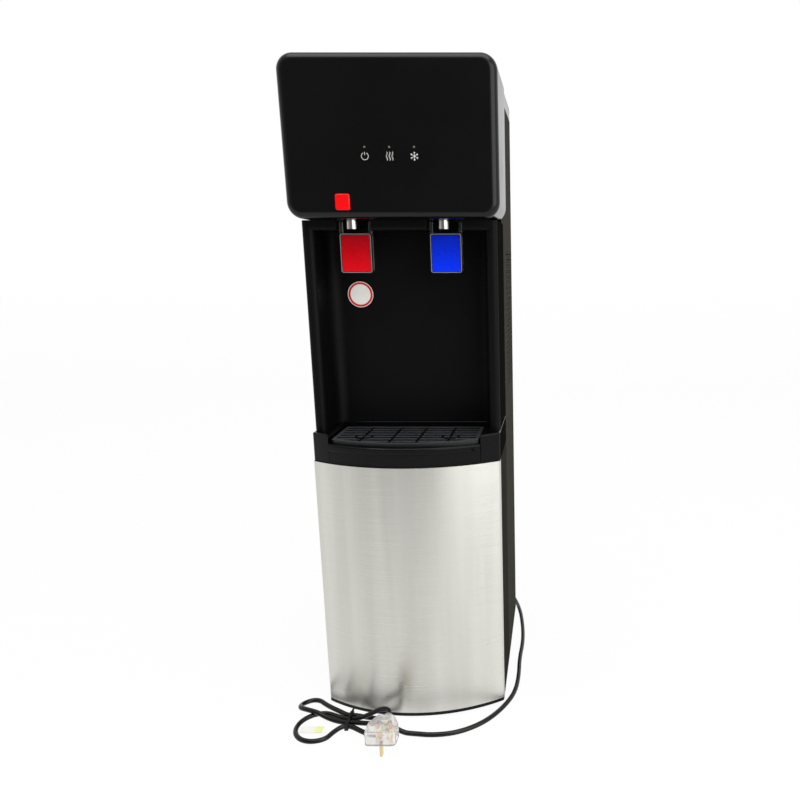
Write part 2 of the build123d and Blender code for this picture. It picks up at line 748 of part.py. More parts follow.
def bottle_seat():
    collar_out = COLLAR_R + COLLAR_WALL
    flange_low = HEIGHT - FLANGE_T
    outline = [
        (COLLAR_R, COLLAR_BOTTOM),
        (collar_out, COLLAR_BOTTOM),
        (collar_out, COLLAR_TOP - COLLAR_WALL),
        (SEAT_R, flange_low - COLLAR_WALL),
        (SEAT_R, flange_low),
        (FLANGE_R, flange_low),
        (FLANGE_R, HEIGHT),
        (SEAT_R - COLLAR_WALL, HEIGHT),
        (COLLAR_R, COLLAR_TOP),
    ]
    profile = Plane.XZ * make_face(Polyline(*outline, close=True).edges())
    return Pos(0, SEAT_Y, 0) * revolve(profile, Axis.Z)


# Rear cabinet: louvred steel sides, a recessed back sheet and two inner shelves
def side_panel(side):
    outline = [
        (SEAM, BASE_TOP),
        (BACK, BASE_TOP),
        (BACK, SIDE_TOP),
        (HEAD_BACK, SIDE_TOP),
        (HEAD_BACK, HEAD_BOTTOM),
        (SEAM, HEAD_BOTTOM),
    ]
    sheet = extrude(Plane.YZ * make_face(Polyline(*outline, close=True).edges()), SHEET, dir=(1, 0, 0))
    panel = Pos(HALF - SHEET, 0, 0) * sheet
    lip_x = (HALF - SHEET - FLANGE_W, HALF - SHEET / 2)
    panel = panel + block(lip_x, (PANEL_OUT, PANEL_OUT + SHEET), (BASE_TOP, SIDE_TOP))
    louvre_y = (SEAM + LOUVRE_FRONT, BACK - LOUVRE_REAR)
    heights = [LOUVRE_Z + n * LOUVRE_PITCH for n in range(LOUVRE_COUNT)]
    through = (HALF - SHEET * 2, HALF + SHEET)
    panel = panel - [block(through, louvre_y, (z, z + LOUVRE_H)) for z in heights]
    return panel if side > 0 else mirror(panel, about=Plane.YZ)


def back_panel():
    panel = block((-HALF + SHEET, HALF - SHEET), (PANEL_Y, PANEL_OUT), (BASE_TOP, SIDE_TOP))
    through = (PANEL_Y - 1, PANEL_OUT + 1)
    panel = panel - rod_y(DRAIN_R + FIT_GAP, 0, through, DRAIN_Z)
    panel = panel - rod_y(GLAND_R + FIT_GAP, GLAND_X, through, GLAND_Z)
    for x, z in ((COND_HALF, COND_LOW), (-COND_HALF, COND_TOP)):
        panel = panel - rod_y(LINE_R + SHEET, x, through, z)
    hole = block(
        (SWITCH_X - SWITCH_HALF_W - FIT_GAP, SWITCH_X + SWITCH_HALF_W + FIT_GAP),
        through,
        (SWITCH_Z - SWITCH_HALF_H - FIT_GAP, SWITCH_Z + SWITCH_HALF_H + FIT_GAP),
    )
    return panel - both(hole)


def shelf(top, front):
    plate = block((-HALF + SHEET, HALF - SHEET), (front, PANEL_Y), (top - SHELF_T, top))
    plate = plate - rod(FEED_R + SHEET, 0, SEAT_Y, (top - SHELF_T - 1, top + 1))
    slot = (CAPILLARY_X - PIPE_R, SUCTION_X + PIPE_R)
    return plate - block(slot, (SEAT_Y - PIPE_R, SEAT_Y + PIPE_R), (top - SHELF_T - 1, top + 1))


# Cold side: steel tank in a foam jacket, with the evaporator wound between them
def cold_tank():
    tank = rod(TANK_R, 0, SEAT_Y, (TANK_BOTTOM, TANK_TOP))
    tank = tank - rod(TANK_R - TANK_WALL, 0, SEAT_Y, (TANK_BOTTOM + TANK_WALL, TANK_TOP - TANK_WALL))
    tank = tank - rod(MOUTH_R, 0, SEAT_Y, (TANK_TOP - TANK_WALL * 2, TANK_TOP + 1))
    return tank - rod(FEED_R - TANK_WALL, 0, SEAT_Y, (TANK_BOTTOM - 1, TANK_BOTTOM + TANK_WALL * 2))


def evaporator():
    span = (EVAPORATOR_Z, EVAPORATOR_Z + EVAPORATOR_H)
    return rod(TANK_R + EVAPORATOR_T, 0, SEAT_Y, span) - rod(TANK_R, 0, SEAT_Y, span)


def tank_insulation():
    jacket = rod(FOAM_R, 0, SEAT_Y, (SHELF_Z, TANK_TOP))
    jacket = jacket - rod(TANK_R + EVAPORATOR_T, 0, SEAT_Y, (TANK_BOTTOM, TANK_TOP + 1))
    jacket = jacket - rod(FEED_R + FIT_GAP, 0, SEAT_Y, (SHELF_Z - 1, TANK_BOTTOM + 1))
    jacket = jacket - rod(SUCTION_R + FIT_GAP, SUCTION_X, SEAT_Y, (SHELF_Z - 1, TANK_BOTTOM + 1))
    return jacket - rod_y(PIPE_R + FIT_GAP, TAP_X, (SEAT_Y - FOAM_R - 1, SEAT_Y), INLET_Z)


def cold_outlet_pipe():
    pipe = rod_y(PIPE_R, TAP_X, (INLET_END, SEAT_Y), INLET_Z)
    return pipe - rod(TANK_R, 0, SEAT_Y, (TANK_BOTTOM, TANK_TOP))


# Hot side: steel tank with a band heater, a cut-out thermostat pair and a rear drain
def hot_tank():
    tank = rod(HOT_R, 0, SEAT_Y, (HOT_BOTTOM, HOT_TOP))
    tank = tank - rod(HOT_R - TANK_WALL, 0, SEAT_Y, (HOT_BOTTOM + TANK_WALL, HOT_TOP - TANK_WALL))
    spout = rod_y(DRAIN_R, 0, (SEAT_Y + HOT_R - DRAIN_R / 2, PANEL_OUT + DRAIN_CAP_L / 2), DRAIN_Z)
    return tank + (spout - rod(HOT_R - TANK_WALL, 0, SEAT_Y, (HOT_BOTTOM, HOT_TOP)))


def heater_band():
    span = (BAND_Z, BAND_Z + BAND_H)
    return rod(HOT_R + BAND_T, 0, SEAT_Y, span) - rod(HOT_R, 0, SEAT_Y, span)


def thermostats():
    low = BAND_Z + BAND_H + THERMOSTAT_R
    front = SEAT_Y - HOT_R - THERMOSTAT_T
    body = rod(HOT_R, 0, SEAT_Y, (HOT_BOTTOM, HOT_TOP))
    return [rod_y(THERMOSTAT_R, x, (front, SEAT_Y), low + THERMOSTAT_R) - body for x in (-THERMOSTAT_X, THERMOSTAT_X)]


def hot_feed_pipe():
    outside = rod(FEED_R, 0, SEAT_Y, (HOT_TOP, TANK_BOTTOM))
    return outside - rod(FEED_R - TANK_WALL, 0, SEAT_Y, (HOT_TOP - 1, TANK_BOTTOM + 1))


def drain_cap():
    outside = rod_y(DRAIN_CAP_R, 0, (PANEL_OUT + FIT_GAP, PANEL_OUT + DRAIN_CAP_L), DRAIN_Z)
    return outside - rod_y(DRAIN_R, 0, (PANEL_OUT, PANEL_OUT + DRAIN_CAP_L / 2), DRAIN_Z)


# Tubes: straight runs joined by tangent arcs, each arc as large as its runs allow
def bend_radii(points):
    radii = []
    for before, here, after in zip(points, points[1:], points[2:]):
        first = Vector(*here) - Vector(*before)
        second = Vector(*after) - Vector(*here)
        half_turn = math.radians(first.get_angle(second)) / 2
        radii.append(TUBE_BEND * min(first.length, second.length) / math.tan(half_turn))
    return radii


def tube(points, radius, report=None):
    radii = bend_radii(points)
    path = FilletPolyline(*points, radius=radii)
    start = Plane(origin=path @ 0, z_dir=path % 0)
    solid = sweep(start * Circle(radius), path=path)
    if report:
        print(report, "radii", [round(r, 1) for r in radii])
        print(report, "length", round(path.length, 1), "volume ratio",
              round(solid.volume / (math.pi * radius ** 2 * path.length), 5))
    return solid, path


def hot_outlet_hose():
    # It climbs from the hot tank, passes in front of the cold tank's shelf and turns to the tap
    start = (HOSE_START[0], SEAT_Y - HOSE_START[1])
    rise_y = CHEEK + HOSE_RISE_Y
    room = SHELF_Z - SHELF_T - HOT_TOP
    low, middle, high = [HOT_TOP + room * step for step in HOSE_STEPS]
    points = [
        (*start, HOT_TOP),
        (*start, low),
        (HOSE_MIDDLE[0], SEAT_Y - HOSE_MIDDLE[1], middle),
        (-TAP_X, rise_y, high),
        (-TAP_X, rise_y, HEAD_BOTTOM + HOSE_BEND_Z),
        (-TAP_X, rise_y - HOSE_BEND_Y, INLET_Z),
        (-TAP_X, INLET_END, INLET_Z),
    ]
    return tube(points, PIPE_R)[0]


# Cooling circuit: compressor on grommets, wire-and-tube condenser behind the back sheet, drier and lines
def compressor():
    shell = rod(COMP_R, 0, SEAT_Y, (COMP_BOTTOM, COMP_TOP))
    shell = fillet(shell.edges().filter_by(GeomType.CIRCLE), COMP_ROUND)
    plate = block(
        (-COMP_PLATE_X, COMP_PLATE_X),
        (SEAT_Y - COMP_PLATE_Y, SEAT_Y + COMP_PLATE_Y),
        (COMP_BOTTOM - COMP_PLATE_T, COMP_BOTTOM),
    )
    return shell + plate


def compressor_grommets():
    spots = [(sx * GROMMET_X, SEAT_Y + sy * GROMMET_Y) for sx in (-1, 1) for sy in (-1, 1)]
    return [rod(GROMMET_R, x, y, (BASE_TOP, COMP_BOTTOM - COMP_PLATE_T)) for x, y in spots]


def condenser_coil():
    points = [(COND_HALF, COND_CENTRE - COND_EXIT, COND_LOW), (COND_HALF, COND_CENTRE, COND_LOW)]
    side = -1
    for n in range(COND_PASSES - 1):
        z = COND_LOW + n * COND_PITCH
        points += [(side * COND_HALF, COND_CENTRE, z), (side * COND_HALF, COND_CENTRE, z + COND_PITCH)]
        side = -side
    points += [(side * COND_HALF, COND_CENTRE, COND_TOP), (side * COND_HALF, COND_CENTRE - COND_EXIT, COND_TOP)]
    exit_bend = COND_EXIT / 2.5
    radii = [exit_bend] + [COND_PITCH * COND_BEND] * (len(points) - 4) + [exit_bend]
    path = FilletPolyline(*points, radius=radii)
    return sweep(Plane(origin=path @ 0, z_dir=path % 0) * Circle(LINE_R), path=path)


def condenser_wires():
    y = COND_CENTRE + LINE_R + WIRE_R + RUN_GAP
    span = (COND_LOW - WIRE_OVER, COND_TOP + WIRE_OVER)
    first = -WIRE_PITCH * (WIRE_COUNT - 1) / 2
    return [rod(WIRE_R, first + n * WIRE_PITCH, y, span) for n in range(WIRE_COUNT)]


def condenser_clips():
    depth = (PANEL_OUT, COND_CENTRE - LINE_R)
    spots = [(side * CLIP_X, z) for side in (-1, 1) for z in (COND_LOW + COND_PITCH, COND_TOP - COND_PITCH)]
    return [
        block((x - CLIP_W / 2, x + CLIP_W / 2), depth, (z - CLIP_H / 2, z + CLIP_H / 2))
        for x, z in spots
    ]


def discharge_pipe():
    end = COND_CENTRE - COND_EXIT
    points = [
        (STUB_X, SEAT_Y, COMP_TOP),
        (STUB_X, SEAT_Y, COND_LOW),
        (COND_HALF, SEAT_Y, COND_LOW),
        (COND_HALF, end, COND_LOW),
    ]
    path = FilletPolyline(*points, radius=LINE_R * 5)
    return sweep(Plane(origin=path @ 0, z_dir=path % 0) * Circle(LINE_R), path=path)


def liquid_line():
    start = COND_CENTRE - COND_EXIT
    points = [(-COND_HALF, start, COND_TOP), (-COND_HALF, DRIER_Y, COND_TOP), (-COND_HALF, DRIER_Y, DRIER_TOP)]
    path = FilletPolyline(*points, radius=LINE_R * 4)
    return sweep(Plane(origin=path @ 0, z_dir=path % 0) * Circle(LINE_R), path=path)


def filter_drier():
    body = rod(DRIER_R, -COND_HALF, DRIER_Y, (DRIER_TOP - DRIER_H, DRIER_TOP))
    return fillet(body.edges().filter_by(GeomType.CIRCLE), DRIER_R / 2)


def capillary_tube():
    bottom = DRIER_TOP - DRIER_H
    points = [
        (-COND_HALF, DRIER_Y, bottom),
        (-COND_HALF, DRIER_Y, bottom - 18.0),
        (-COND_HALF + 9.0, DRIER_Y - 18.0, bottom - 26.0),
        (CAPILLARY_X - 6.0, SEAT_Y + 12.0, bottom - 12.0),
        (CAPILLARY_X, SEAT_Y, bottom + 16.0),
        (CAPILLARY_X, SEAT_Y, SHELF_Z),
    ]
    return tube(points, CAPILLARY_R)[0]


def suction_pipe():
    points = [
        (-STUB_X, SEAT_Y, COMP_TOP),
        (-STUB_X, SEAT_Y, COMP_TOP + STUB_RISE),
        (SUCTION_X, SEAT_Y, COMP_TOP + SUCTION_RISE),
        (SUCTION_X, SEAT_Y, EVAPORATOR_Z),
    ]
    path = FilletPolyline(*points, radius=SUCTION_R * 8)
    return sweep(Plane(origin=path @ 0, z_dir=path % 0) * Circle(SUCTION_R), path=path)


# Rear switches: two bezels in the back sheet, each with a rocker on trunnions
def switch_bezel(x):
    inner_w, inner_h = SWITCH_HALF_W - SWITCH_WALL, SWITCH_HALF_H - SWITCH_WALL
    body = block(
        (x - SWITCH_HALF_W, x + SWITCH_HALF_W),
        (PANEL_OUT - SWITCH_DEPTH, PANEL_OUT),
        (SWITCH_Z - SWITCH_HALF_H, SWITCH_Z + SWITCH_HALF_H),
    )
    rim = block(
        (x - SWITCH_HALF_W - SWITCH_WALL, x + SWITCH_HALF_W + SWITCH_WALL),
        (PANEL_OUT, PANEL_OUT + SWITCH_BEZEL),
        (SWITCH_Z - SWITCH_HALF_H - SWITCH_WALL, SWITCH_Z + SWITCH_HALF_H + SWITCH_WALL),
    )
    well = block(
        (x - inner_w, x + inner_w),
        (PANEL_OUT - SWITCH_DEPTH / 2, PANEL_OUT + SWITCH_BEZEL + 1),
        (SWITCH_Z - inner_h, SWITCH_Z + inner_h),
    )
    reach = SWITCH_HALF_W - TRUNNION_CLEAR
    bore = rod_x(TRUNNION_R + RUN_GAP, (x - reach, x + reach), ROCKER_Y, SWITCH_Z)
    return body + rim - well - bore


def rocker(x):
    half_w = SWITCH_HALF_W - SWITCH_WALL - ROCKER_GAP
    half_h = SWITCH_HALF_H - SWITCH_WALL - ROCKER_GAP * 2
    face = [(ROCKER_EDGE, -half_h), (ROCKER_MIDDLE, 0.0), (ROCKER_EDGE, half_h)]
    outline = [(-ROCKER_BACK, -half_h), *face, (-ROCKER_BACK, half_h)]
    profile = Plane.YZ * make_face(Polyline(*outline, close=True).edges())
    body = Rot(-ROCKER_TILT, 0, 0) * extrude(profile, half_w, both=True)
    reach = SWITCH_HALF_W - TRUNNION_IN
    trunnions = rod_x(TRUNNION_R, (x - reach, x + reach), ROCKER_Y, SWITCH_Z)
    return Pos(x, ROCKER_Y, SWITCH_Z) * body + trunnions


# Mains lead: gland, the stretch along the floor, the tied hank, its tie and tag
def cord_gland():
    taper = Solid.make_cone(GLAND_R, GLAND_TIP_R, GLAND_L, Plane((GLAND_X, PANEL_OUT, GLAND_Z), z_dir=(0, 1, 0)))
    flange = rod_y(GLAND_FLANGE_R, GLAND_X, (PANEL_OUT, PANEL_OUT + GLAND_FLANGE_T), GLAND_Z)
    neck = rod_y(GLAND_R, GLAND_X, (PANEL_Y - GLAND_FLANGE_T, PANEL_OUT), GLAND_Z)
    nut = rod_y(GLAND_FLANGE_R, GLAND_X, (PANEL_Y - GLAND_FLANGE_T * 2, PANEL_Y), GLAND_Z)
    return Part() + taper + flange + neck + nut


def corner_point(x, y, z):
    # A place measured from the cabinet's left front corner, with y growing towards the viewer
    return x - HALF, FRONT - y, z


def stretch_points():
    return [
        (GLAND_X, GLAND_END, GLAND_Z),
        (GLAND_X, GLAND_END + 30.0, GLAND_Z),
        (GLAND_X + 17.0, BACK + 73.0, 20.0),
        (HALF - 24.0, BACK + 75.0, 6.0),
        (HALF - 4.0, BACK + 37.0, CORD_Z),
        (HALF + 11.0, BACK - 17.0, CORD_Z),
        (HALF + 20.0, BACK - 83.0, CORD_Z),
        (HALF + 24.0, BACK - 150.0, CORD_Z),
        (HALF + 20.0, FRONT + 177.0, CORD_Z),
        (HALF + 22.0, FRONT + 119.0, CORD_Z),
        (HALF + 18.0, FRONT + 67.0, CORD_Z),
        (HALF, FRONT + 23.0, CORD_Z),
        (HALF - 29.0, FRONT - 17.0, CORD_Z),
        corner_point(241.0, 43.0, CORD_Z),
        corner_point(200.0, 50.0, CORD_Z),
        corner_point(167.0, 46.0, CORD_Z),
    ]


def lane(n):
    return LANE_FRONT + n * LANE_PITCH


def loop(x, y, radius, start, step, heights):
    # Points of a turn about a place given as in corner_point, one for each height
    turns = [math.radians(start + n * step) for n in range(len(heights))]
    return [
        corner_point(x + radius * math.cos(turn), y - radius * math.sin(turn), z)
        for turn, z in zip(turns, heights)
    ]


def lane_points(n, heading):
    return [(TIE_X - heading * LANE_HALF, lane(n), LANE_Z), (TIE_X + heading * LANE_HALF, lane(n), LANE_Z)]


def hank_points():
    over = CORD_Z + CORD_D + CROSS_GAP
    flat = [CORD_Z] * 7
    points = stretch_points()[-1:]
    points += [corner_point(150.5, 44.0, CORD_Z), corner_point(130.0, 39.5, over), corner_point(109.0, 33.5, over)]
    points += [corner_point(85.0, 25.0, 8.0)]
    points += lane_points(1, -1)
    points += [corner_point(28.0, 15.0, 5.4), corner_point(11.0, 9.5, 8.0), corner_point(-8.0, 2.5, over)]
    points += loop(-26.0, -25.0, 20.0, 255.0, -38.0, [over, 11.0, 7.0, CORD_Z, CORD_Z, CORD_Z])
    points += [corner_point(-5.0, -32.5, CORD_Z), corner_point(10.0, -22.0, CORD_Z), corner_point(28.0, -11.0, 4.6)]
    points += lane_points(3, 1)
    points += [corner_point(75.0, 3.0, CORD_Z)]
    points += loop(103.0, 29.0, 22.0, 105.0, -35.0, flat)
    points += [corner_point(78.0, 40.5, 4.6)]
    points += lane_points(0, -1)
    points += [corner_point(32.0, 42.0, CORD_Z)]
    points += loop(3.0, 29.0, 38.0, -55.0, -36.0, flat)
    points += [corner_point(29.0, 3.0, 4.6)]
    points += lane_points(2, 1)
    points += [corner_point(75.0, 12.5, 11.0), corner_point(93.0, 15.0, 22.0)]
    points += [corner_point(111.0, 18.0, PLUG_AXIS - 1.0)]
    return points + [corner_point(125.0, 26.5, PLUG_AXIS), (PLUG_X, PLUG_NECK, PLUG_AXIS)]


def least_self_gap(path, apart, count=500):
    places = [path @ (n / count) for n in range(count + 1)]
    skip = int(apart / (path.length / count)) + 1
    gaps = [
        (places[i] - places[j]).length
        for i in range(len(places))
        for j in range(i + skip, len(places))
    ]
    return min(gaps) - CORD_D


def cord_tie():
    low, high = lane(0) - CORD_R - FIT_GAP, lane(LANES - 1) + CORD_R + FIT_GAP
    bottom, top = LANE_Z - CORD_R - FIT_GAP, LANE_Z + CORD_R + FIT_GAP
    x = (TIE_X - TIE_W / 2, TIE_X + TIE_W / 2)
    band = block(x, (low - TIE_T, high + TIE_T), (bottom - TIE_T, top + TIE_T))
    return band - block((x[0] - 1, x[1] + 1), (low, high), (bottom, top))


def cord_tag():
    left, middle, low = corner_point(-TAG_OUT, TAG_FRONT, CORD_Z - TAG_T / 2)
    return block((left, left + TAG_L), (middle - TAG_W / 2, middle + TAG_W / 2), (low, low + TAG_T))


# Plug: a clear hollow body standing on its three flat pins, with the fuse showing inside
def plug_outline(wall):
    neck = PLUG_NECK - PLUG_NECK_L - wall
    end = neck - PLUG_LENGTH + wall * 2
    shoulder = PLUG_SHOULDER - wall
    half = PLUG_HALF - wall
    widest = neck - PLUG_LENGTH * PLUG_WIDEST + wall
    right = [(half, end), (half, widest), (shoulder, neck)]
    left = [(-x, y) for x, y in reversed(right)]
    face = make_face(Polyline(*right, *left, close=True).edges())
    face = fillet(face.vertices(), PLUG_CORNER_R - wall)
    return Pos(PLUG_X, 0) * face


def plug_body():
    low, high = PLUG_FACE_Z, PLUG_FACE_Z + PLUG_T
    body = prism(plug_outline(0), low, high)
    body = fillet(body.faces().sort_by(Axis.Z)[-1].edges(), PLUG_TOP_R)
    body = body - prism(plug_outline(PLUG_WALL), low + PLUG_WALL, high - PLUG_WALL)
    neck = rod_y(NECK_R, PLUG_X, (PLUG_NECK - PLUG_NECK_L - PLUG_WALL / 2, PLUG_NECK), PLUG_AXIS)
    return body + neck


def pin_row():
    return PLUG_NECK - PLUG_NECK_L - LIVE_PIN_Y


def plug_pins():
    row = pin_row()
    places = [
        (PLUG_X - PIN_SPACING / 2, row, LIVE_PIN),
        (PLUG_X + PIN_SPACING / 2, row, LIVE_PIN),
        (PLUG_X, row - PIN_SPACING, EARTH_PIN),
    ]
    pins = []
    for x, y, (wide, deep, length) in places:
        z = (PLUG_FACE_Z - length, PLUG_FACE_Z)
        pins.append(block((x - wide / 2, x + wide / 2), (y - deep / 2, y + deep / 2), z))
    return pins


def plug_fuse():
    x = PLUG_X + PIN_SPACING / 2
    y = pin_row() - FUSE_SHIFT
    low = PLUG_FACE_Z + PLUG_WALL
    return rod_y(FUSE_R, x, (y - FUSE_L / 2, y + FUSE_L / 2), low + FUSE_R)


def panel_screws():
    x = HALF - SHEET - FLANGE_W / 2
    depth = (PANEL_OUT + SHEET, PANEL_OUT + SHEET + SCREW_HEAD)
    step = (SIDE_TOP - BASE_TOP) / SCREW_COUNT
    heights = [BASE_TOP + step * (n + 0.5) for n in range(SCREW_COUNT)]
    return [rod_y(SCREW_R, side * x, depth, z) for side in (-1, 1) for z in heights]


os.makedirs("parts", exist_ok=True)

save("base_pan", base_pan())
save("base_feet", *base_feet())
save("front_skin", front_skin())
save("front_carrier", front_carrier())
save("tray_housing", tray_housing())
save("drip_tray", drip_tray())
save("drip_grille", drip_grille())
save("alcove_panel", alcove_panel())
save("head_cover", head_cover())
save("control_board", control_board())
save("indicator_lights", *indicator_lights())
save("lock_button", lock_button())
save("lock_spring", lock_spring())
for word, side in (("hot", -1), ("cold", 1)):
    save(f"{word}_tap_body", tap_body(side * TAP_X, side < 0))
    save(f"{word}_lever", lever(side * TAP_X))
    save(f"{word}_insert", lever_insert(side * TAP_X))
    save(f"{word}_rocker", rocker(-side * SWITCH_X))
save("tap_nozzles", nozzle(-TAP_X), nozzle(TAP_X))
save("lever_pins", lever_pin(-TAP_X), lever_pin(TAP_X))
save("lever_springs", lever_spring(-TAP_X), lever_spring(TAP_X))
save("top_cover", top_cover())
save("bottle_seat", bottle_seat())
save("left_side_panel", side_panel(-1))
save("right_side_panel", side_panel(1))
save("back_panel", back_panel())
save("tank_shelf", shelf(SHELF_Z, SEAM + WALL))
save("hot_tank_shelf", shelf(HOT_BOTTOM, SEAM + WALL))
save("cold_tank", cold_tank())
save("evaporator", evaporator())
save("tank_insulation", tank_insulation())
save("cold_outlet_pipe", cold_outlet_pipe())
save("hot_tank", hot_tank())
save("heater_band", heater_band())
save("thermostats", *thermostats())
save("hot_feed_pipe", hot_feed_pipe())
save("hot_outlet_hose", hot_outlet_hose())
save("drain_cap", drain_cap())
save("compressor", compressor())
save("compressor_grommets", *compressor_grommets())
save("condenser_coil", condenser_coil())
save("condenser_wires", *condenser_wires())
save("condenser_clips", *condenser_clips())
save("discharge_pipe", discharge_pipe())
save("filter_drier", filter_drier() + liquid_line())
save("capillary_tube", capillary_tube())
save("suction_pipe", suction_pipe())
save("switch_bezels", switch_bezel(-SWITCH_X), switch_bezel(SWITCH_X))
save("panel_screws", *panel_screws())
save("cord_gland", cord_gland())
stretch, stretch_path = tube(stretch_points(), CORD_R, "mains cord")
save("mains_cord", stretch)
hank, hank_path = tube(hank_points(), CORD_R, "cord hank")
print("cord hank least gap to itself", round(least_self_gap(hank_path, CORD_D * 4), 2))
print("lead length", round(stretch_path.length + hank_path.length, 1))
save("cord_hank", hank)
save("cord_tie", cord_tie())
save("cord_tag", cord_tag())
save("plug_body", plug_body())
save("plug_pins", *plug_pins())
save("plug_fuse", plug_fuse())
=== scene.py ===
import math

import bmesh
import bpy
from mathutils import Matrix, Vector


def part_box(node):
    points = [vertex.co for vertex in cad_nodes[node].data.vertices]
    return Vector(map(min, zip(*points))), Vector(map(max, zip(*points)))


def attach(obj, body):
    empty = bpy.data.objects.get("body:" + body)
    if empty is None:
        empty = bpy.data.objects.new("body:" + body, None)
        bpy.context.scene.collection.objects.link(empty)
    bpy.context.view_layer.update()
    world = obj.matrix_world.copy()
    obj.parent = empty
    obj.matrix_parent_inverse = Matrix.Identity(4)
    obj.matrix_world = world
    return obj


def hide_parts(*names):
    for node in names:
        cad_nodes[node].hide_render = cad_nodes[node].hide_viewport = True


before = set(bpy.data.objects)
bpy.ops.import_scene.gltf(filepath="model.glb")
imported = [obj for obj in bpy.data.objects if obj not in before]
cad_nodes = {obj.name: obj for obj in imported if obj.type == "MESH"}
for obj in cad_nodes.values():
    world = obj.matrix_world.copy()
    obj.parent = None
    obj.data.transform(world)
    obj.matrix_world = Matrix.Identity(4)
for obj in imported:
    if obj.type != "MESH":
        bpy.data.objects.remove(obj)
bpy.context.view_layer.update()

# The studio: a pale sheet that sweeps up behind, a room that is grey in front, and two soft lamps.
# The camera stands a little to the right of the dispenser, at the height of its taps, and looks down.
CAMERA_SENSOR = 36.0
CAMERA_LENS = 31.5
CAMERA_SHIFT = -0.198
CAMERA_REACH = 60.0
CAMERA_PLACE = (0.2517, -1.2711, 0.7743)
CAMERA_TILT = 11.3

scene = bpy.context.scene
scene.view_settings.view_transform = "Standard"

camera_data = bpy.data.cameras.new("camera")
camera_data.sensor_width = CAMERA_SENSOR
camera_data.lens = CAMERA_LENS
camera_data.shift_x = CAMERA_SHIFT
camera_data.clip_end = CAMERA_REACH
camera = bpy.data.objects.new("camera", camera_data)
camera.location = CAMERA_PLACE
camera.rotation_euler = (math.radians(90.0 - CAMERA_TILT), 0.0, 0.0)
scene.collection.objects.link(camera)
scene.camera = camera

SWEEP_FRONT = -2.2
SWEEP_BACK = 4.0
SWEEP_TURN = 1.2
SWEEP_TOP = 9.0
SWEEP_HALF = 7.0
SWEEP_STEPS = 24
SWEEP_PAINT = (0.9, 0.9, 0.9, 1.0)
SWEEP_GLOW = 0.95
SWEEP_PLAIN_Z = 0.6


def link_mesh(name, build):
    mesh = bpy.data.meshes.new(name)
    shape = bmesh.new()
    build(shape)
    shape.normal_update()
    shape.to_mesh(mesh)
    shape.free()
    piece = bpy.data.objects.new(name, mesh)
    scene.collection.objects.link(piece)
    return piece


def build_sweep(shape):
    # Flat from the front, rounded up into the wall at the back
    line = [(SWEEP_FRONT, 0.0), (SWEEP_BACK - SWEEP_TURN, 0.0)]
    for n in range(1, SWEEP_STEPS + 1):
        angle = math.pi / 2.0 * n / SWEEP_STEPS
        y = SWEEP_BACK - SWEEP_TURN + SWEEP_TURN * math.sin(angle)
        line.append((y, SWEEP_TURN - SWEEP_TURN * math.cos(angle)))
    line.append((SWEEP_BACK, SWEEP_TOP))
    rows = [[shape.verts.new((x, y, z)) for x in (-SWEEP_HALF, SWEEP_HALF)] for y, z in line]
    for before, after in zip(rows, rows[1:]):
        shape.faces.new((before[0], before[1], after[1], after[0])).smooth = True


def rise_along(tree, axis, start, end, places="Object"):
    # Grows from 0 at the start to 1 at the end, along one axis
    place = tree.nodes.new("ShaderNodeTexCoord")
    split = tree.nodes.new("ShaderNodeSeparateXYZ")
    rise = tree.nodes.new("ShaderNodeMapRange")
    rise.inputs["From Min"].default_value = start
    rise.inputs["From Max"].default_value = end
    tree.links.new(place.outputs[places], split.inputs[0])
    tree.links.new(split.outputs[axis], rise.inputs["Value"])
    return rise


def combine(tree, operation, first, second):
    both = tree.nodes.new("ShaderNodeMath")
    both.operation = operation
    tree.links.new(first, both.inputs[0])
    tree.links.new(second, both.inputs[1])
    return both.outputs[0]


# Seen directly, mirrored or through glass the sheet stays pale; near the floor shadows still fall on it
sweep_white = bpy.data.materials.new("studio_sweep_white")
sweep_white.use_nodes = True
sheet = sweep_white.node_tree
sheet.nodes.clear()
sheet_output = sheet.nodes.new("ShaderNodeOutputMaterial")
sheet_paint = sheet.nodes.new("ShaderNodeBsdfDiffuse")
sheet_paint.inputs["Color"].default_value = SWEEP_PAINT
sheet_glow = sheet.nodes.new("ShaderNodeEmission")
sheet_glow.inputs["Color"].default_value = (1.0, 1.0, 1.0, 1.0)
sheet_rays = sheet.nodes.new("ShaderNodeLightPath").outputs
sheet_seen = combine(sheet, "MAXIMUM", sheet_rays["Is Camera Ray"], sheet_rays["Is Glossy Ray"])
sheet_seen = combine(sheet, "MAXIMUM", sheet_seen, sheet_rays["Is Transmission Ray"])
sheet_height = rise_along(sheet, "Z", 0.0, SWEEP_PLAIN_Z)
sheet_height.inputs["To Min"].default_value = SWEEP_GLOW
sheet_share = combine(sheet, "MULTIPLY", sheet_seen, sheet_height.outputs["Result"])
sheet_mix = sheet.nodes.new("ShaderNodeMixShader")
sheet.links.new(sheet_share, sheet_mix.inputs["Fac"])
sheet.links.new(sheet_paint.outputs[0], sheet_mix.inputs[1])
sheet.links.new(sheet_glow.outputs[0], sheet_mix.inputs[2])
sheet.links.new(sheet_mix.outputs[0], sheet_output.inputs["Surface"])

sweep = link_mesh("studio_sweep", build_sweep)
sweep.data.materials.append(sweep_white)

ROOM_STEPS = [(0.0, 0.45), (0.2, 0.32), (0.36, 0.15), (0.47, 0.15), (0.62, 0.45), (0.85, 1.0)]
ROOM_WARMTH = 0.97
ROOM_BEHIND = (0.9, 0.9, 0.88, 1.0)
ROOM_TURN = (-0.6, -0.15)

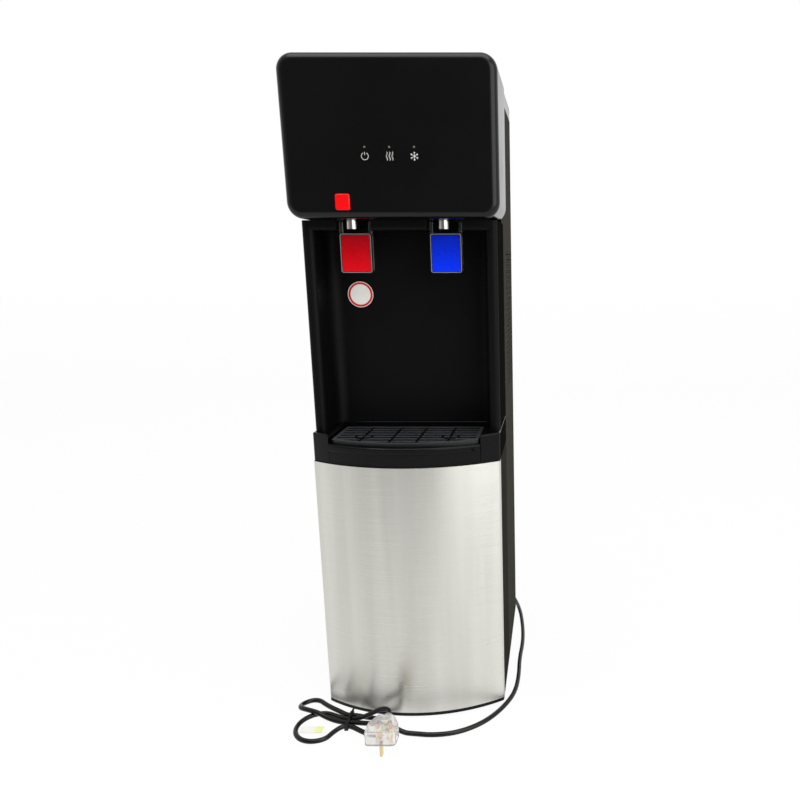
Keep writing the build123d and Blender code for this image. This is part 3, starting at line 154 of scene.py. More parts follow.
world = bpy.data.worlds.new("studio_room")
scene.world = world
world.use_nodes = True
room = world.node_tree
room.nodes.clear()
room_output = room.nodes.new("ShaderNodeOutputWorld")
room_light = room.nodes.new("ShaderNodeBackground")
room_across = rise_along(room, "X", -1.0, 1.0, "Generated")
room_ramp = room.nodes.new("ShaderNodeValToRGB")
room_ramp.color_ramp.interpolation = "B_SPLINE"
room_ramp.color_ramp.elements.remove(room_ramp.color_ramp.elements[1])
for place, level in ROOM_STEPS:
    step = room_ramp.color_ramp.elements.new(place)
    step.color = (level, level, level * ROOM_WARMTH, 1.0)
room.links.new(room_across.outputs["Result"], room_ramp.inputs["Fac"])
room_back = rise_along(room, "Y", ROOM_TURN[0], ROOM_TURN[1], "Generated")
room_mix = room.nodes.new("ShaderNodeMix")
room_mix.data_type = "RGBA"
room_mix.inputs["B"].default_value = ROOM_BEHIND
room.links.new(room_back.outputs["Result"], room_mix.inputs["Factor"])
room.links.new(room_ramp.outputs["Color"], room_mix.inputs["A"])
room.links.new(room_mix.outputs["Result"], room_light.inputs["Color"])
room.links.new(room_light.outputs[0], room_output.inputs["Surface"])


def softbox(name, place, aim, size, watts):
    lamp_data = bpy.data.lights.new(name, "AREA")
    lamp_data.shape = "RECTANGLE"
    lamp_data.size = size[0]
    lamp_data.size_y = size[1]
    lamp_data.energy = watts
    lamp = bpy.data.objects.new(name, lamp_data)
    lamp.location = place
    lamp.rotation_euler = (Vector(aim) - Vector(place)).to_track_quat("-Z", "Y").to_euler()
    scene.collection.objects.link(lamp)


softbox("right_window", place=(1.75, -1.75, 1.3), aim=(0.0, 0.0, 0.5), size=(2.3, 2.2), watts=32.0)
softbox("overhead", place=(0.0, -0.9, 2.9), aim=(0.0, 0.0, 0.4), size=(2.4, 1.8), watts=40.0)

# The base: a black moulded pan that the whole cabinet stands in, on four rubber feet. It shows as
# a thin dark line under the steel.
NOISE_RANGE = (0.3, 0.7)
TINT_RANGE = (0.35, 0.65)
DRIFT_SCALE = 9.0
DRIFT_DETAIL = 4.0
DRIFT_GLOSS = (0.85, 1.2)
GRAIN_DETAIL = 2.0


def finish_shell(name, colour, metallic=0.0, specular=0.5):
    # A Principled surface with its tree, ready for the finish's own texture
    material = bpy.data.materials.new(name)
    material.use_nodes = True
    tree = material.node_tree
    surface = tree.nodes["Principled BSDF"]
    surface.inputs["Base Color"].default_value = (*colour, 1.0)
    surface.inputs["Metallic"].default_value = metallic
    surface.inputs["Specular IOR Level"].default_value = specular
    return material, tree, surface


def noise(tree, scale, detail=3.0, stretch=(1.0, 1.0, 1.0)):
    place = tree.nodes.new("ShaderNodeTexCoord")
    mapping = tree.nodes.new("ShaderNodeMapping")
    mapping.inputs["Scale"].default_value = stretch
    texture = tree.nodes.new("ShaderNodeTexNoise")
    texture.inputs["Scale"].default_value = scale
    texture.inputs["Detail"].default_value = detail
    tree.links.new(place.outputs["Object"], mapping.inputs["Vector"])
    tree.links.new(mapping.outputs["Vector"], texture.inputs["Vector"])
    return texture.outputs["Fac"]


def vary(tree, source, socket, low, high):
    spread = tree.nodes.new("ShaderNodeMapRange")
    spread.inputs["From Min"].default_value = NOISE_RANGE[0]
    spread.inputs["From Max"].default_value = NOISE_RANGE[1]
    spread.inputs["To Min"].default_value = low
    spread.inputs["To Max"].default_value = high
    tree.links.new(source, spread.inputs["Value"])
    tree.links.new(spread.outputs["Result"], socket)


def tint(tree, source, socket, low, high):
    ramp = tree.nodes.new("ShaderNodeValToRGB")
    for element, place, colour in zip(ramp.color_ramp.elements, TINT_RANGE, (low, high)):
        element.position = place
        element.color = (*colour, 1.0)
    tree.links.new(source, ramp.inputs["Fac"])
    tree.links.new(ramp.outputs["Color"], socket)


def raise_grain(tree, surface, source, depth, strength=0.4):
    bump = tree.nodes.new("ShaderNodeBump")
    bump.inputs["Strength"].default_value = strength
    bump.inputs["Distance"].default_value = depth
    tree.links.new(source, bump.inputs["Height"])
    tree.links.new(bump.outputs["Normal"], surface.inputs["Normal"])


def moulding(name, colour, rough, grain, depth, specular=0.5, light=1.25):
    # Moulded plastic or rubber: a fine grain, and a gloss that drifts with handling
    material, tree, surface = finish_shell(name, colour, specular=specular)
    drift = noise(tree, DRIFT_SCALE, DRIFT_DETAIL)
    vary(tree, drift, surface.inputs["Roughness"], rough * DRIFT_GLOSS[0], rough * DRIFT_GLOSS[1])
    tint(tree, drift, surface.inputs["Base Color"], colour, tuple(min(1.0, c * light) for c in colour))
    raise_grain(tree, surface, noise(tree, grain, GRAIN_DETAIL), depth)
    return material


def wear(material, *names):
    for name in names:
        cad_nodes[name].data.materials.clear()
        cad_nodes[name].data.materials.append(material)


satin_black = moulding(
    "satin_black", (0.004, 0.004, 0.0045), rough=0.42, grain=700.0, depth=0.00004, specular=0.15
)
rubber_black = moulding(
    "rubber_black", (0.010, 0.010, 0.0105), rough=0.6, grain=420.0, depth=0.00008, specular=0.25
)
wear(satin_black, "base_pan")
wear(rubber_black, "base_feet")

# The compressor: a painted steel shell on rubber grommets, with brazed copper lines to the condenser,
# the drier and the evaporator.
METAL_SCALE = 120.0
METAL_SPREAD = 0.25
METAL_SHADE = 0.92


def metal(name, colour, rough, scale=METAL_SCALE):
    # Bare metal: its gloss and its colour drift a little from place to place
    material, tree, surface = finish_shell(name, colour, metallic=1.0)
    drift = noise(tree, scale)
    gloss = (rough * (1.0 - METAL_SPREAD), rough * (1.0 + METAL_SPREAD))
    vary(tree, drift, surface.inputs["Roughness"], *gloss)
    tint(tree, drift, surface.inputs["Base Color"], tuple(c * METAL_SHADE for c in colour), colour)
    return material


shell_black = moulding(
    "shell_black", (0.010, 0.010, 0.011), rough=0.35, grain=300.0, depth=0.00005, specular=0.4
)
wear(shell_black, "compressor")
wear(rubber_black, "compressor_grommets")
copper = metal("copper_line", (0.75, 0.38, 0.22), rough=0.3)
wear(copper, "evaporator", "discharge_pipe", "filter_drier", "capillary_tube", "suction_pipe")

# The rear cabinet: painted steel side sheets with pressed louvres, whose hoods stand out over their slots,
# and a plain zinc-coated back sheet between them.
HALF_WIDTH = 0.155
LOUVRE_COUNT = 26
LOUVRE_PITCH = 0.010
LOUVRE_Z = 0.535
LOUVRE_Y = (0.035, 0.170)
LOUVRE_TAPER = 0.012
HOOD_FORM = [(0.0, 0.0056), (0.0010, 0.0050), (0.0017, 0.0036), (0.0019, 0.0020), (0.0018, 0.0008)]
HOOD_END = [(0.0, 0.0), (0.35, 0.6), (1.0, 1.0)]
HOOD_OFF = 0.0001
HOOD_WALL = 0.0006


def build_hoods(shape):
    # Each hood swells out of the sheet at both ends, and is open below
    ends = [(LOUVRE_Y[0] + LOUVRE_TAPER * along, proud) for along, proud in HOOD_END]
    ends += [(LOUVRE_Y[1] - LOUVRE_TAPER * along, proud) for along, proud in reversed(HOOD_END)]
    root = HALF_WIDTH + HOOD_OFF
    for side in (-1.0, 1.0):
        for n in range(LOUVRE_COUNT):
            z = LOUVRE_Z + LOUVRE_PITCH * n
            rows = []
            for y, proud in ends:
                row = [(side * (root + out * proud), y, z + rise) for out, rise in HOOD_FORM]
                rows.append([shape.verts.new(place) for place in row])
            for before, after in zip(rows, rows[1:]):
                for i in range(len(HOOD_FORM) - 1):
                    quad = (before[i], before[i + 1], after[i + 1], after[i])
                    shape.faces.new(quad if side > 0 else tuple(reversed(quad)))


def dress(piece, material, body):
    piece.data.materials.append(material)
    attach(piece, body)


# Partly painted reflection: the side sheets' warm dark grey, with no gloss, stands in for dark paint that
# reflects a brownish room
side_paint_and_reflection = moulding(
    "side_paint_and_reflection", (0.046, 0.043, 0.036), rough=0.50, grain=160.0, depth=0.00003, specular=0.0, light=1.06
)
wear(side_paint_and_reflection, "left_side_panel", "right_side_panel")
zinc = metal("zinc_sheet", (0.52, 0.53, 0.55), rough=0.38, scale=40.0)
wear(zinc, "back_panel")

hoods = link_mesh("louvre_hoods", build_hoods)
for face in hoods.data.polygons:
    face.use_smooth = True
hood_wall = hoods.modifiers.new("sheet", "SOLIDIFY")
hood_wall.thickness = HOOD_WALL
hood_wall.offset = -1.0
dress(hoods, side_paint_and_reflection, "cabinet")

# The condenser: a steel serpentine with wires welded across it, painted black. Clips hold it off
# the back sheet, so that air rises between them.
wear(shell_black, "condenser_coil", "condenser_wires")
wear(satin_black, "condenser_clips")

# The water side: a steel cold tank in a foam jacket and a steel hot tank with its band heater, on two
# shelves of zinc-coated sheet, joined to the taps by silicone hoses.
tank_steel = metal("tank_steel", (0.62, 0.62, 0.62), rough=0.30, scale=60.0)
wear(tank_steel, "cold_tank", "hot_tank", "heater_band")
foam_cream = moulding(
    "foam_cream", (0.72, 0.66, 0.48), rough=0.9, grain=220.0, depth=0.0004, specular=0.2
)
wear(foam_cream, "tank_insulation")
silicone = moulding("silicone_milky", (0.68, 0.68, 0.66), rough=0.4, grain=500.0, depth=0.00002)
wear(silicone, "cold_outlet_pipe", "hot_feed_pipe", "hot_outlet_hose")
tap_white = moulding("tap_white", (0.70, 0.70, 0.68), rough=0.45, grain=700.0, depth=0.00003)
wear(tap_white, "thermostats", "drain_cap")
wear(zinc, "tank_shelf", "hot_tank_shelf")

# The lower front: one brushed stainless sheet, bowed and folded at its sides, over a black moulded carrier.
# The brushing runs across it, and its top edge is rounded over. A thin bead along that edge is paler and
# smoother than the sheet, a painted highlight for the bright line the edge catches.
BOW_R = 0.28944
BOW_CENTRE_Y = 0.09444
SKIN_TOP_Z = 0.447
BEAD_R = 0.0007
BEAD_HALF = 0.150
BEAD_STEPS = 48
CURVE_STEPS = 10
WIRE_ROUND = 4


def link_curve(name, routes, radius, rounded=True):
    # Round wire or flex along each route: a smooth NURBS line, or straight runs between close points
    data = bpy.data.curves.new(name, "CURVE")
    data.dimensions = "3D"
    data.resolution_u = CURVE_STEPS
    data.bevel_depth = radius
    data.bevel_resolution = WIRE_ROUND
    data.use_fill_caps = True
    for route in routes:
        line = data.splines.new("NURBS" if rounded else "POLY")
        line.points.add(len(route) - 1)
        for knot, place in zip(line.points, route):
            knot.co = (*place, 1.0)
        if rounded:
            line.order_u = 3
            line.use_endpoint_u = True
    piece = bpy.data.objects.new(name, data)
    scene.collection.objects.link(piece)
    return piece


steel, steel_tree, steel_surface = finish_shell("brushed_steel", (0.60, 0.585, 0.55), metallic=1.0)
steel_surface.inputs["Anisotropic"].default_value = 0.75
steel_surface.inputs["Anisotropic Rotation"].default_value = 0.25
steel_around = steel_tree.nodes.new("ShaderNodeTangent")
steel_around.direction_type = "RADIAL"
steel_around.axis = "Z"
steel_tree.links.new(steel_around.outputs["Tangent"], steel_surface.inputs["Tangent"])
strokes = noise(steel_tree, scale=14.0, detail=6.0, stretch=(0.8, 0.8, 100.0))
bands = noise(steel_tree, scale=26.0, detail=3.0, stretch=(1.0, 1.0, 0.05))
vary(steel_tree, strokes, steel_surface.inputs["Roughness"], low=0.26, high=0.38)
tint(
    steel_tree, bands, steel_surface.inputs["Base Color"], low=(0.62, 0.615, 0.57), high=(0.70, 0.69, 0.645)
)
raise_grain(steel_tree, steel_surface, strokes, depth=0.00004, strength=0.2)
wear(steel, "front_skin")

# Painted highlight: a thin bead of paler metal along the top edge, for the bright line that edge catches
bead_route = []
for n in range(BEAD_STEPS + 1):
    x = BEAD_HALF * (2.0 * n / BEAD_STEPS - 1.0)
    y = BOW_CENTRE_Y - math.sqrt((BOW_R - BEAD_R) ** 2 - x ** 2)
    bead_route.append((x, y, SKIN_TOP_Z - BEAD_R))
skin_edge = link_curve("skin_edge", [bead_route], BEAD_R, rounded=False)
dress(skin_edge, metal("edge_painted_highlight", (0.80, 0.79, 0.76), rough=0.2), "cabinet")

carrier_black = moulding(
    "carrier_black", (0.026, 0.0245, 0.021), rough=0.6, grain=500.0, depth=0.00006, specular=0.0, light=1.06
)
wear(carrier_black, "front_carrier")

# The drip tray: a glossy tray with a proud lip that slides out of its housing, and a slotted grille
# that lies in it. All are black mouldings; the grille is darkened below its top face, a painted shade for
# its slots.
SIDE_FACING = 0.95
SIDE_BAND = 0.005
GRILLE_TOP_Z = 0.486
# How far below the grille's top face its painted slot shade fades in
GRILLE_SHADE_DEPTH = 0.0004

gloss_black = moulding(
    "gloss_black", (0.002, 0.002, 0.0023), rough=0.14, grain=260.0, depth=0.00002, specular=0.14
)
grained_black = moulding(
    "grained_black", (0.006, 0.0058, 0.0054), rough=0.6, grain=500.0, depth=0.00006, specular=0.0, light=1.06
)


def grain_sides(name):
    # The outer side faces of a moulding are grained, and take no gloss
    mesh = cad_nodes[name].data
    mesh.materials.append(grained_black)
    for face in mesh.polygons:
        if abs(face.normal.x) > SIDE_FACING and abs(face.center.x) > HALF_WIDTH - SIDE_BAND:
            face.material_index = 1


wear(gloss_black, "tray_housing", "drip_tray")
grain_sides("tray_housing")

grille_black, grille_tree, grille_surface = finish_shell("grille_black", (0.045, 0.047, 0.054))
# Painted shade: below its top face the grille is darkened nearly to black, standing in for the shade inside
# its slots
grille_slot_shade = rise_along(grille_tree, "Z", GRILLE_TOP_Z - GRILLE_SHADE_DEPTH, GRILLE_TOP_Z)
tint(
    grille_tree,
    grille_slot_shade.outputs["Result"],
    grille_surface.inputs["Base Color"],
    low=(0.003, 0.003, 0.0035),
    high=(0.055, 0.057, 0.064),
)
vary(grille_tree, noise(grille_tree, scale=40.0), grille_surface.inputs["Roughness"], low=0.30, high=0.46)
raise_grain(grille_tree, grille_surface, noise(grille_tree, 700.0, GRAIN_DETAIL), depth=0.00004)
wear(grille_black, "drip_grille")

# The alcove panel: one satin black moulding with rounded cheeks, clipped over the tray housing.
# A plain round sticker, white with a red ring, is stuck to its back wall under the left tap.
STICKER_PLACE = (-0.0865, -0.0621, 0.7168)
STICKER_RINGS = (0.0217, 0.0208, 0.0172)
STICKER_T = 0.0003
STICKER_STEPS = 64


def skin_rings(shape, rings):
    # Faces from each ring to the next, and a flat end on the first and the last
    for before, after in zip(rings, rings[1:]):
        for n in range(len(before)):
            m = (n + 1) % len(before)
            shape.faces.new((before[n], before[m], after[m], after[n]))
    shape.faces.new(rings[0])
    shape.faces.new(list(reversed(rings[-1])))
    bmesh.ops.recalc_face_normals(shape, faces=shape.faces)


def turned(shape, profile, place, steps):
    # A form turned about the Y axis; each ring has a radius, or a reach that depends on the angle
    rings = []
    for reach, along in profile:
        ring = []
        for n in range(steps):
            angle = 2.0 * math.pi * n / steps
            radius = reach(angle) if callable(reach) else reach
            x = place[0] + radius * math.cos(angle)
            ring.append(shape.verts.new((x, place[1] + along, place[2] + radius * math.sin(angle))))
        rings.append(ring)
    skin_rings(shape, rings)


def build_sticker(shape):
    back = [(STICKER_RINGS[0], STICKER_T / 3.0), (STICKER_RINGS[0], -STICKER_T)]
    front = [(radius, -STICKER_T) for radius in STICKER_RINGS[1:]]
    turned(shape, back + front, STICKER_PLACE, STICKER_STEPS)
    for face in shape.faces:
        centre = face.calc_center_median()
        reach = math.hypot(centre.x - STICKER_PLACE[0], centre.z - STICKER_PLACE[2])
        face.material_index = 1 if STICKER_RINGS[2] < reach < STICKER_RINGS[1] else 0


alcove_black = moulding(
    "alcove_black", (0.0026, 0.0026, 0.0030), rough=0.48, grain=900.0, depth=0.00003, specular=0.09
)
wear(alcove_black, "alcove_panel")
grain_sides("alcove_panel")

sticker_white = moulding("sticker_white", (0.80, 0.79, 0.76), rough=0.35, grain=600.0, depth=0.00001)
sticker_red = moulding("sticker_red", (0.55, 0.01, 0.015), rough=0.35, grain=600.0, depth=0.00001)
sticker = link_mesh("round_sticker", build_sticker)
dress(sticker, sticker_white, "cabinet")
sticker.data.materials.append(sticker_red)

# The taps: chrome nozzles under white moulded bodies, with clear levers that turn on steel pins.
# Each lever holds a coloured plate, red for hot and blue for cold.
PLATE_REACH = 1.2
PLATE_SHADE = 0.5
RIM_R = 0.0006
RIM_MARGIN = Vector((0.0022, 0.0, 0.0022))
RIM_CORNER = 0.003
RIM_CORNER_STEPS = 6

wear(metal("chrome", (0.60, 0.57, 0.55), rough=0.09), "tap_nozzles")
wear(tap_white, "hot_tap_body", "cold_tap_body")
spring_bright = metal("spring_bright", (0.55, 0.55, 0.55), rough=0.25)
wear(spring_bright, "lever_pins", "lever_springs", "lock_spring")

lever_clear, lever_tree, lever_surface = finish_shell("lever_clear", (0.80, 0.81, 0.83))
lever_surface.inputs["Transmission Weight"].default_value = 1.0
lever_surface.inputs["IOR"].default_value = 1.49
vary(lever_tree, noise(lever_tree, scale=80.0), lever_surface.inputs["Roughness"], low=0.03, high=0.08)
wear(lever_clear, "hot_lever", "cold_lever")


def plate_with_painted_shade(name, colour, low_z, high_z):
    # Dyed clear plate, with painted shade: its colour is darkened towards the top, for the light that the
    # head above keeps off it
    reach = (high_z - low_z) * PLATE_REACH
    shade = tuple(c * PLATE_SHADE for c in colour)
    material, tree, surface = finish_shell(name, colour, specular=0.15)
    # Painted shade: the colour ramps from the shaded tone at the top to the full dye at the bottom
    depth = rise_along(tree, "Z", high_z + reach, low_z - reach)
    tint(tree, depth.outputs["Result"], surface.inputs["Base Color"], shade, colour)
    vary(tree, noise(tree, scale=60.0), surface.inputs["Roughness"], low=0.22, high=0.34)
    return material


plate_low, plate_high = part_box("hot_insert")
wear(plate_with_painted_shade("insert_red", (0.72, 0.002, 0.010), plate_low.z, plate_high.z), "hot_insert")
wear(plate_with_painted_shade("insert_blue", (0.001, 0.032, 0.92), plate_low.z, plate_high.z), "cold_insert")


def rounded_outline(half_x, half_z, radius, steps):
    # A rectangle with round corners, anticlockwise from the lower right corner
    outline = []
    for quarter, (sx, sz) in enumerate(((1, -1), (1, 1), (-1, 1), (-1, -1))):
        for n in range(steps + 1):
            turn = math.radians(90.0 * (quarter - 1) + 90.0 * n / steps)
            x = sx * (half_x - radius) + radius * math.cos(turn)
            outline.append((x, sz * (half_z - radius) + radius * math.sin(turn)))
    return outline


# Painted highlight: a thin pale grey rim round each coloured plate stands in for the light caught on the
# clear lever's bevelled border
rim_painted_highlight, rim_tree, rim_surface = finish_shell("rim_painted_highlight", (0.22, 0.22, 0.225))
vary(rim_tree, noise(rim_tree, scale=80.0), rim_surface.inputs["Roughness"], low=0.08, high=0.16)
for word in ("hot", "cold"):
    frame_low, frame_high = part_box(f"{word}_insert")
    middle = (frame_low + frame_high) / 2.0
    half = (frame_high - frame_low) / 2.0 + RIM_MARGIN
    outline = rounded_outline(half.x - RIM_R, half.z - RIM_R, RIM_CORNER, RIM_CORNER_STEPS)
    rim_route = [(middle.x + x, frame_low.y, middle.z + z) for x, z in outline]
    rim = link_curve(f"{word}_lever_rim", [rim_route], RIM_R, rounded=False)
    rim.data.splines[0].use_cyclic_u = True
    dress(rim, rim_painted_highlight, f"{word}_lever")

# The head cover: a satin black box with rounded corners, screwed on from behind. Three light pipes show
# above printed signs for power, heating and cooling, and the red lock button stands over the hot tap.
BUTTON_PLACE = (-0.0745, 0.8605)
BUTTON_HALF = (0.0110, 0.0120)
BUTTON_ROUND = 0.0032
BUTTON_ROUND_LEAST = 0.001
BUTTON_ROUND_LOSS = 0.6
BUTTON_CORNER_STEPS = 6
BUTTON_SIDE = [(0.0, 0.0110), (0.0, 0.0012)]
BUTTON_EDGE = [(0.0003, 0.0006), (0.0010, 0.0001), (0.0019, 0.0), (0.0040, 0.0002)]
BUTTON_SHARP = 50.0

head_black = moulding(
    "head_black", (0.0018, 0.0018, 0.0020), rough=0.20, grain=900.0, depth=0.00002, specular=0.28
)
wear(head_black, "head_cover")
light_milky = moulding("light_milky", (0.15, 0.15, 0.10), rough=0.3, grain=900.0, depth=0.00001)
wear(light_milky, "indicator_lights")
board_green = moulding("board_green", (0.02, 0.14, 0.06), rough=0.35, grain=700.0, depth=0.00003)
wear(board_green, "control_board")


def build_button(shape):
    # A straight side, then an edge that rolls over to a slightly hollow face
    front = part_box("lock_button")[0].y
    rings = []
    for inset, back in BUTTON_SIDE + BUTTON_EDGE:
        half = [size - inset for size in BUTTON_HALF]
        corner = max(BUTTON_ROUND - inset * BUTTON_ROUND_LOSS, BUTTON_ROUND_LEAST)
        outline = rounded_outline(*half, corner, BUTTON_CORNER_STEPS)
        places = [(BUTTON_PLACE[0] + x, front + back, BUTTON_PLACE[1] + z) for x, z in outline]
        rings.append([shape.verts.new(place) for place in places])
    skin_rings(shape, rings)


def shade_smooth(piece, angle=35.0):
    for face in piece.data.polygons:
        face.use_smooth = True
    piece.data.set_sharp_from_angle(angle=math.radians(angle))
    return piece


button_red = moulding(
    "button_red", (0.80, 0.002, 0.003), rough=0.22, grain=500.0, depth=0.00002, specular=0.3, light=1.1
)
button_cap = shade_smooth(link_mesh("button_cap", build_button), BUTTON_SHARP)
dress(button_cap, button_red, "lock_button")
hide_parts("lock_button")

HEAD_FRONT = -0.180
HEAD_LEAN = 0.006
HEAD_TOP = 1.072
HEAD_HEIGHT = 0.236
SIGN_Z = 0.9263
SIGN_PITCH = 0.037
SIGN_STROKE = 0.00036
SIGN_SINK = 0.6
POWER_R = 0.0052
POWER_ARC = (118.0, 422.0)
POWER_ARC_STEPS = 28
POWER_BAR = [(0.0, 0.0014), (0.0, 0.0062)]
HEAT_PLACES = (-0.0042, 0.0, 0.0042)
HEAT_HEIGHT = 0.0122
HEAT_SWING = 0.0010
HEAT_BENDS = 3.0
HEAT_STEPS = 24
SNOW_R = 0.0062
SNOW_ARMS = 6
SNOW_START = 30.0
SNOW_FORK = 0.7
SNOW_BARB = 0.0017
SNOW_BARB_LEAN = 48.0


def on_head(x, z):
    # A place on the head's leaning front
    lean = HEAD_LEAN * (HEAD_TOP - SIGN_Z - z) / HEAD_HEIGHT
    return (x, HEAD_FRONT + lean + SIGN_STROKE * SIGN_SINK, SIGN_Z + z)


def power_strokes():
    start, end = POWER_ARC
    turns = [math.radians(start + (end - start) * n / POWER_ARC_STEPS) for n in range(POWER_ARC_STEPS + 1)]
    return [[(POWER_R * math.cos(turn), POWER_R * math.sin(turn)) for turn in turns], POWER_BAR]


def heat_strokes():
    places = [n / HEAT_STEPS for n in range(HEAT_STEPS + 1)]
    wave = [(HEAT_SWING * math.sin(HEAT_BENDS * math.pi * p), HEAT_HEIGHT * (p - 0.5)) for p in places]
    return [[(x + swing, z) for swing, z in wave] for x in HEAT_PLACES]


def snow_strokes():
    strokes = []
    for n in range(SNOW_ARMS):
        turn = math.radians(360.0 / SNOW_ARMS * n + SNOW_START)
        tip = (SNOW_R * math.cos(turn), SNOW_R * math.sin(turn))
        fork = (tip[0] * SNOW_FORK, tip[1] * SNOW_FORK)
        strokes.append([(0.0, 0.0), tip])
        for side in (-1.0, 1.0):
            lean = turn + side * math.radians(SNOW_BARB_LEAN)
            barb = (fork[0] + SNOW_BARB * math.cos(lean), fork[1] + SNOW_BARB * math.sin(lean))
            strokes.append([fork, barb])
    return strokes


signs = {
    "sign_power": (-1, power_strokes()),
    "sign_heat": (0, heat_strokes()),
    "sign_cool": (1, snow_strokes()),
}
print_white = moulding(
    "print_white", (0.90, 0.90, 0.90), rough=0.5, grain=900.0, depth=0.00001, specular=0.5, light=1.05
)
for name, (place, sign_strokes) in signs.items():
    routes = [[on_head(place * SIGN_PITCH + x, z) for x, z in stroke] for stroke in sign_strokes]
    dress(link_curve(name, routes, SIGN_STROKE, rounded=False), print_white, "cabinet")

# The top cover and the bottle seat: a black moulded lid, set over the tanks and behind the head, and
# a funnel for the bottle's neck that lifts out of it.
wear(head_black, "top_cover")
wear(satin_black, "bottle_seat")

# The rear switches: two black bezels snapped into the back sheet, with a red rocker for the heater
# and a black one for the compressor.
wear(satin_black, "switch_bezels", "cold_rocker")
wear(button_red, "hot_rocker")

# The screws: zinc-coated pan heads with a cross recess, five along each rear flange. They hold
# the back sheet to the side sheets.
SCREW_X = 0.148
SCREW_Y = 0.180
SCREW_LOW_Z = 0.010
SCREW_HIGH_Z = 1.042
SCREW_COUNT = 5
SCREW_ROUND = 48
SCREW_DOME = [(0.0040, 0.0), (0.0040, 0.0006), (0.0037, 0.0013), (0.0031, 0.0019), (0.0024, 0.0023)]
RECESS_ARM = 0.0021
RECESS_HALF = 0.0005
RECESS_TOP = 0.0023
RECESS_FLOOR = 0.0011
RECESS_LEAST_SINE = 0.001


def recess_reach(angle):
    # Outline of the cross, as a distance from its middle
    turn = (angle + math.pi / 4.0) % (math.pi / 2.0) - math.pi / 4.0
    side = max(abs(math.sin(turn)), RECESS_LEAST_SINE)
    return min(RECESS_ARM / math.cos(turn), RECESS_HALF / side)


def build_screws(shape):
    cross = [(recess_reach, RECESS_TOP), (recess_reach, RECESS_FLOOR)]
    step = (SCREW_HIGH_Z - SCREW_LOW_Z) / SCREW_COUNT
    for side in (-1.0, 1.0):
        for n in range(SCREW_COUNT):
            head = bmesh.new()
            place = (side * SCREW_X, SCREW_Y, SCREW_LOW_Z + step * (n + 0.5))
            turned(head, SCREW_DOME + cross, place, SCREW_ROUND)
            mesh = bpy.data.meshes.new("screw_head")
            head.to_mesh(mesh)
            head.free()
            shape.from_mesh(mesh)
            bpy.data.meshes.remove(mesh)


screws = shade_smooth(link_mesh("screw_heads", build_screws))
dress(screws, metal("screw_zinc", (0.60, 0.60, 0.58), rough=0.3), "cabinet")
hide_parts("panel_screws")

# The strain relief: a moulded rubber gland, clipped through the back sheet, with ribs that let it bend
# and a taper towards the lead.
RELIEF_PLACE = (0.075, 0.0, 0.040)
RELIEF_INSIDE = [(0.012, 0.174), (0.012, 0.178), (0.0078, 0.178), (0.0078, 0.179)]
RELIEF_FLANGE = [(0.012, 0.179), (0.012, 0.1802), (0.0112, 0.181), (0.0086, 0.1815)]
RELIEF_TIP = [(0.0055, 0.2062), (0.0052, 0.207)]
RELIEF_RIBS = 5
RELIEF_RIB_R = 0.0080
RELIEF_RIB_TAPER = 0.0005
RELIEF_RIB_Y = 0.1832
RELIEF_RIB_STEP = 0.0046
RELIEF_RIB_WIDTH = 0.0024
RELIEF_GROOVE = 0.0014
RELIEF_GROOVE_Y = (0.0028, 0.0042)
RELIEF_ROUND = 48


def build_relief(shape):
    profile = RELIEF_INSIDE + RELIEF_FLANGE
    for n in range(RELIEF_RIBS):
        radius = RELIEF_RIB_R - RELIEF_RIB_TAPER * n
        y = RELIEF_RIB_Y + RELIEF_RIB_STEP * n
        profile += [(radius, y), (radius, y + RELIEF_RIB_WIDTH)]
        profile += [(radius - RELIEF_GROOVE, y + along) for along in RELIEF_GROOVE_Y]
    turned(shape, profile + RELIEF_TIP, RELIEF_PLACE, RELIEF_ROUND)


strain_relief = shade_smooth(link_mesh("strain_relief", build_relief))
dress(strain_relief, rubber_black, "cabinet")
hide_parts("cord_gland")

# The mains lead: one black three-core flex, from the gland behind the cabinet, along the floor by its right
# side, then folded into a loose hank at the front left, held by a tie and ending in a moulded plug.
CORD_R = 0.004
CORD_Z = 0.0042
OVER_Z = 0.0134
LANE_Z = 0.0058
LANE_FRONT = -0.224
LANE_PITCH = 0.0095
LANE_HALF = 0.007
TIE_X = -0.104
PLUG_X = -0.030
PLUG_NECK_Y = -0.236
PLUG_AXIS_Z = 0.0329
FRONT_Y = -0.195


def from_corner(x, y, z):
    # A place in millimetres from the cabinet's left front corner, with y growing towards the viewer
    return (x / 1000.0 - HALF_WIDTH, FRONT_Y - y / 1000.0, z)


def cord_run(*places):
    return [from_corner(*place) for place in places]


def cord_turn(x, y, radius, start, step, heights):
    # A loop about one place, a knot at each step of the angle
    turns = [math.radians(start + n * step) for n in range(len(heights))]
    return [
        from_corner(x + radius * math.cos(turn), y - radius * math.sin(turn), z)
        for turn, z in zip(turns, heights)
    ]


def cord_lane(n, heading):
    # One of the four runs through the tie, counted from the front
    y = LANE_FRONT + LANE_PITCH * n
    return [(TIE_X - heading * LANE_HALF, y, LANE_Z), (TIE_X + heading * LANE_HALF, y, LANE_Z)]


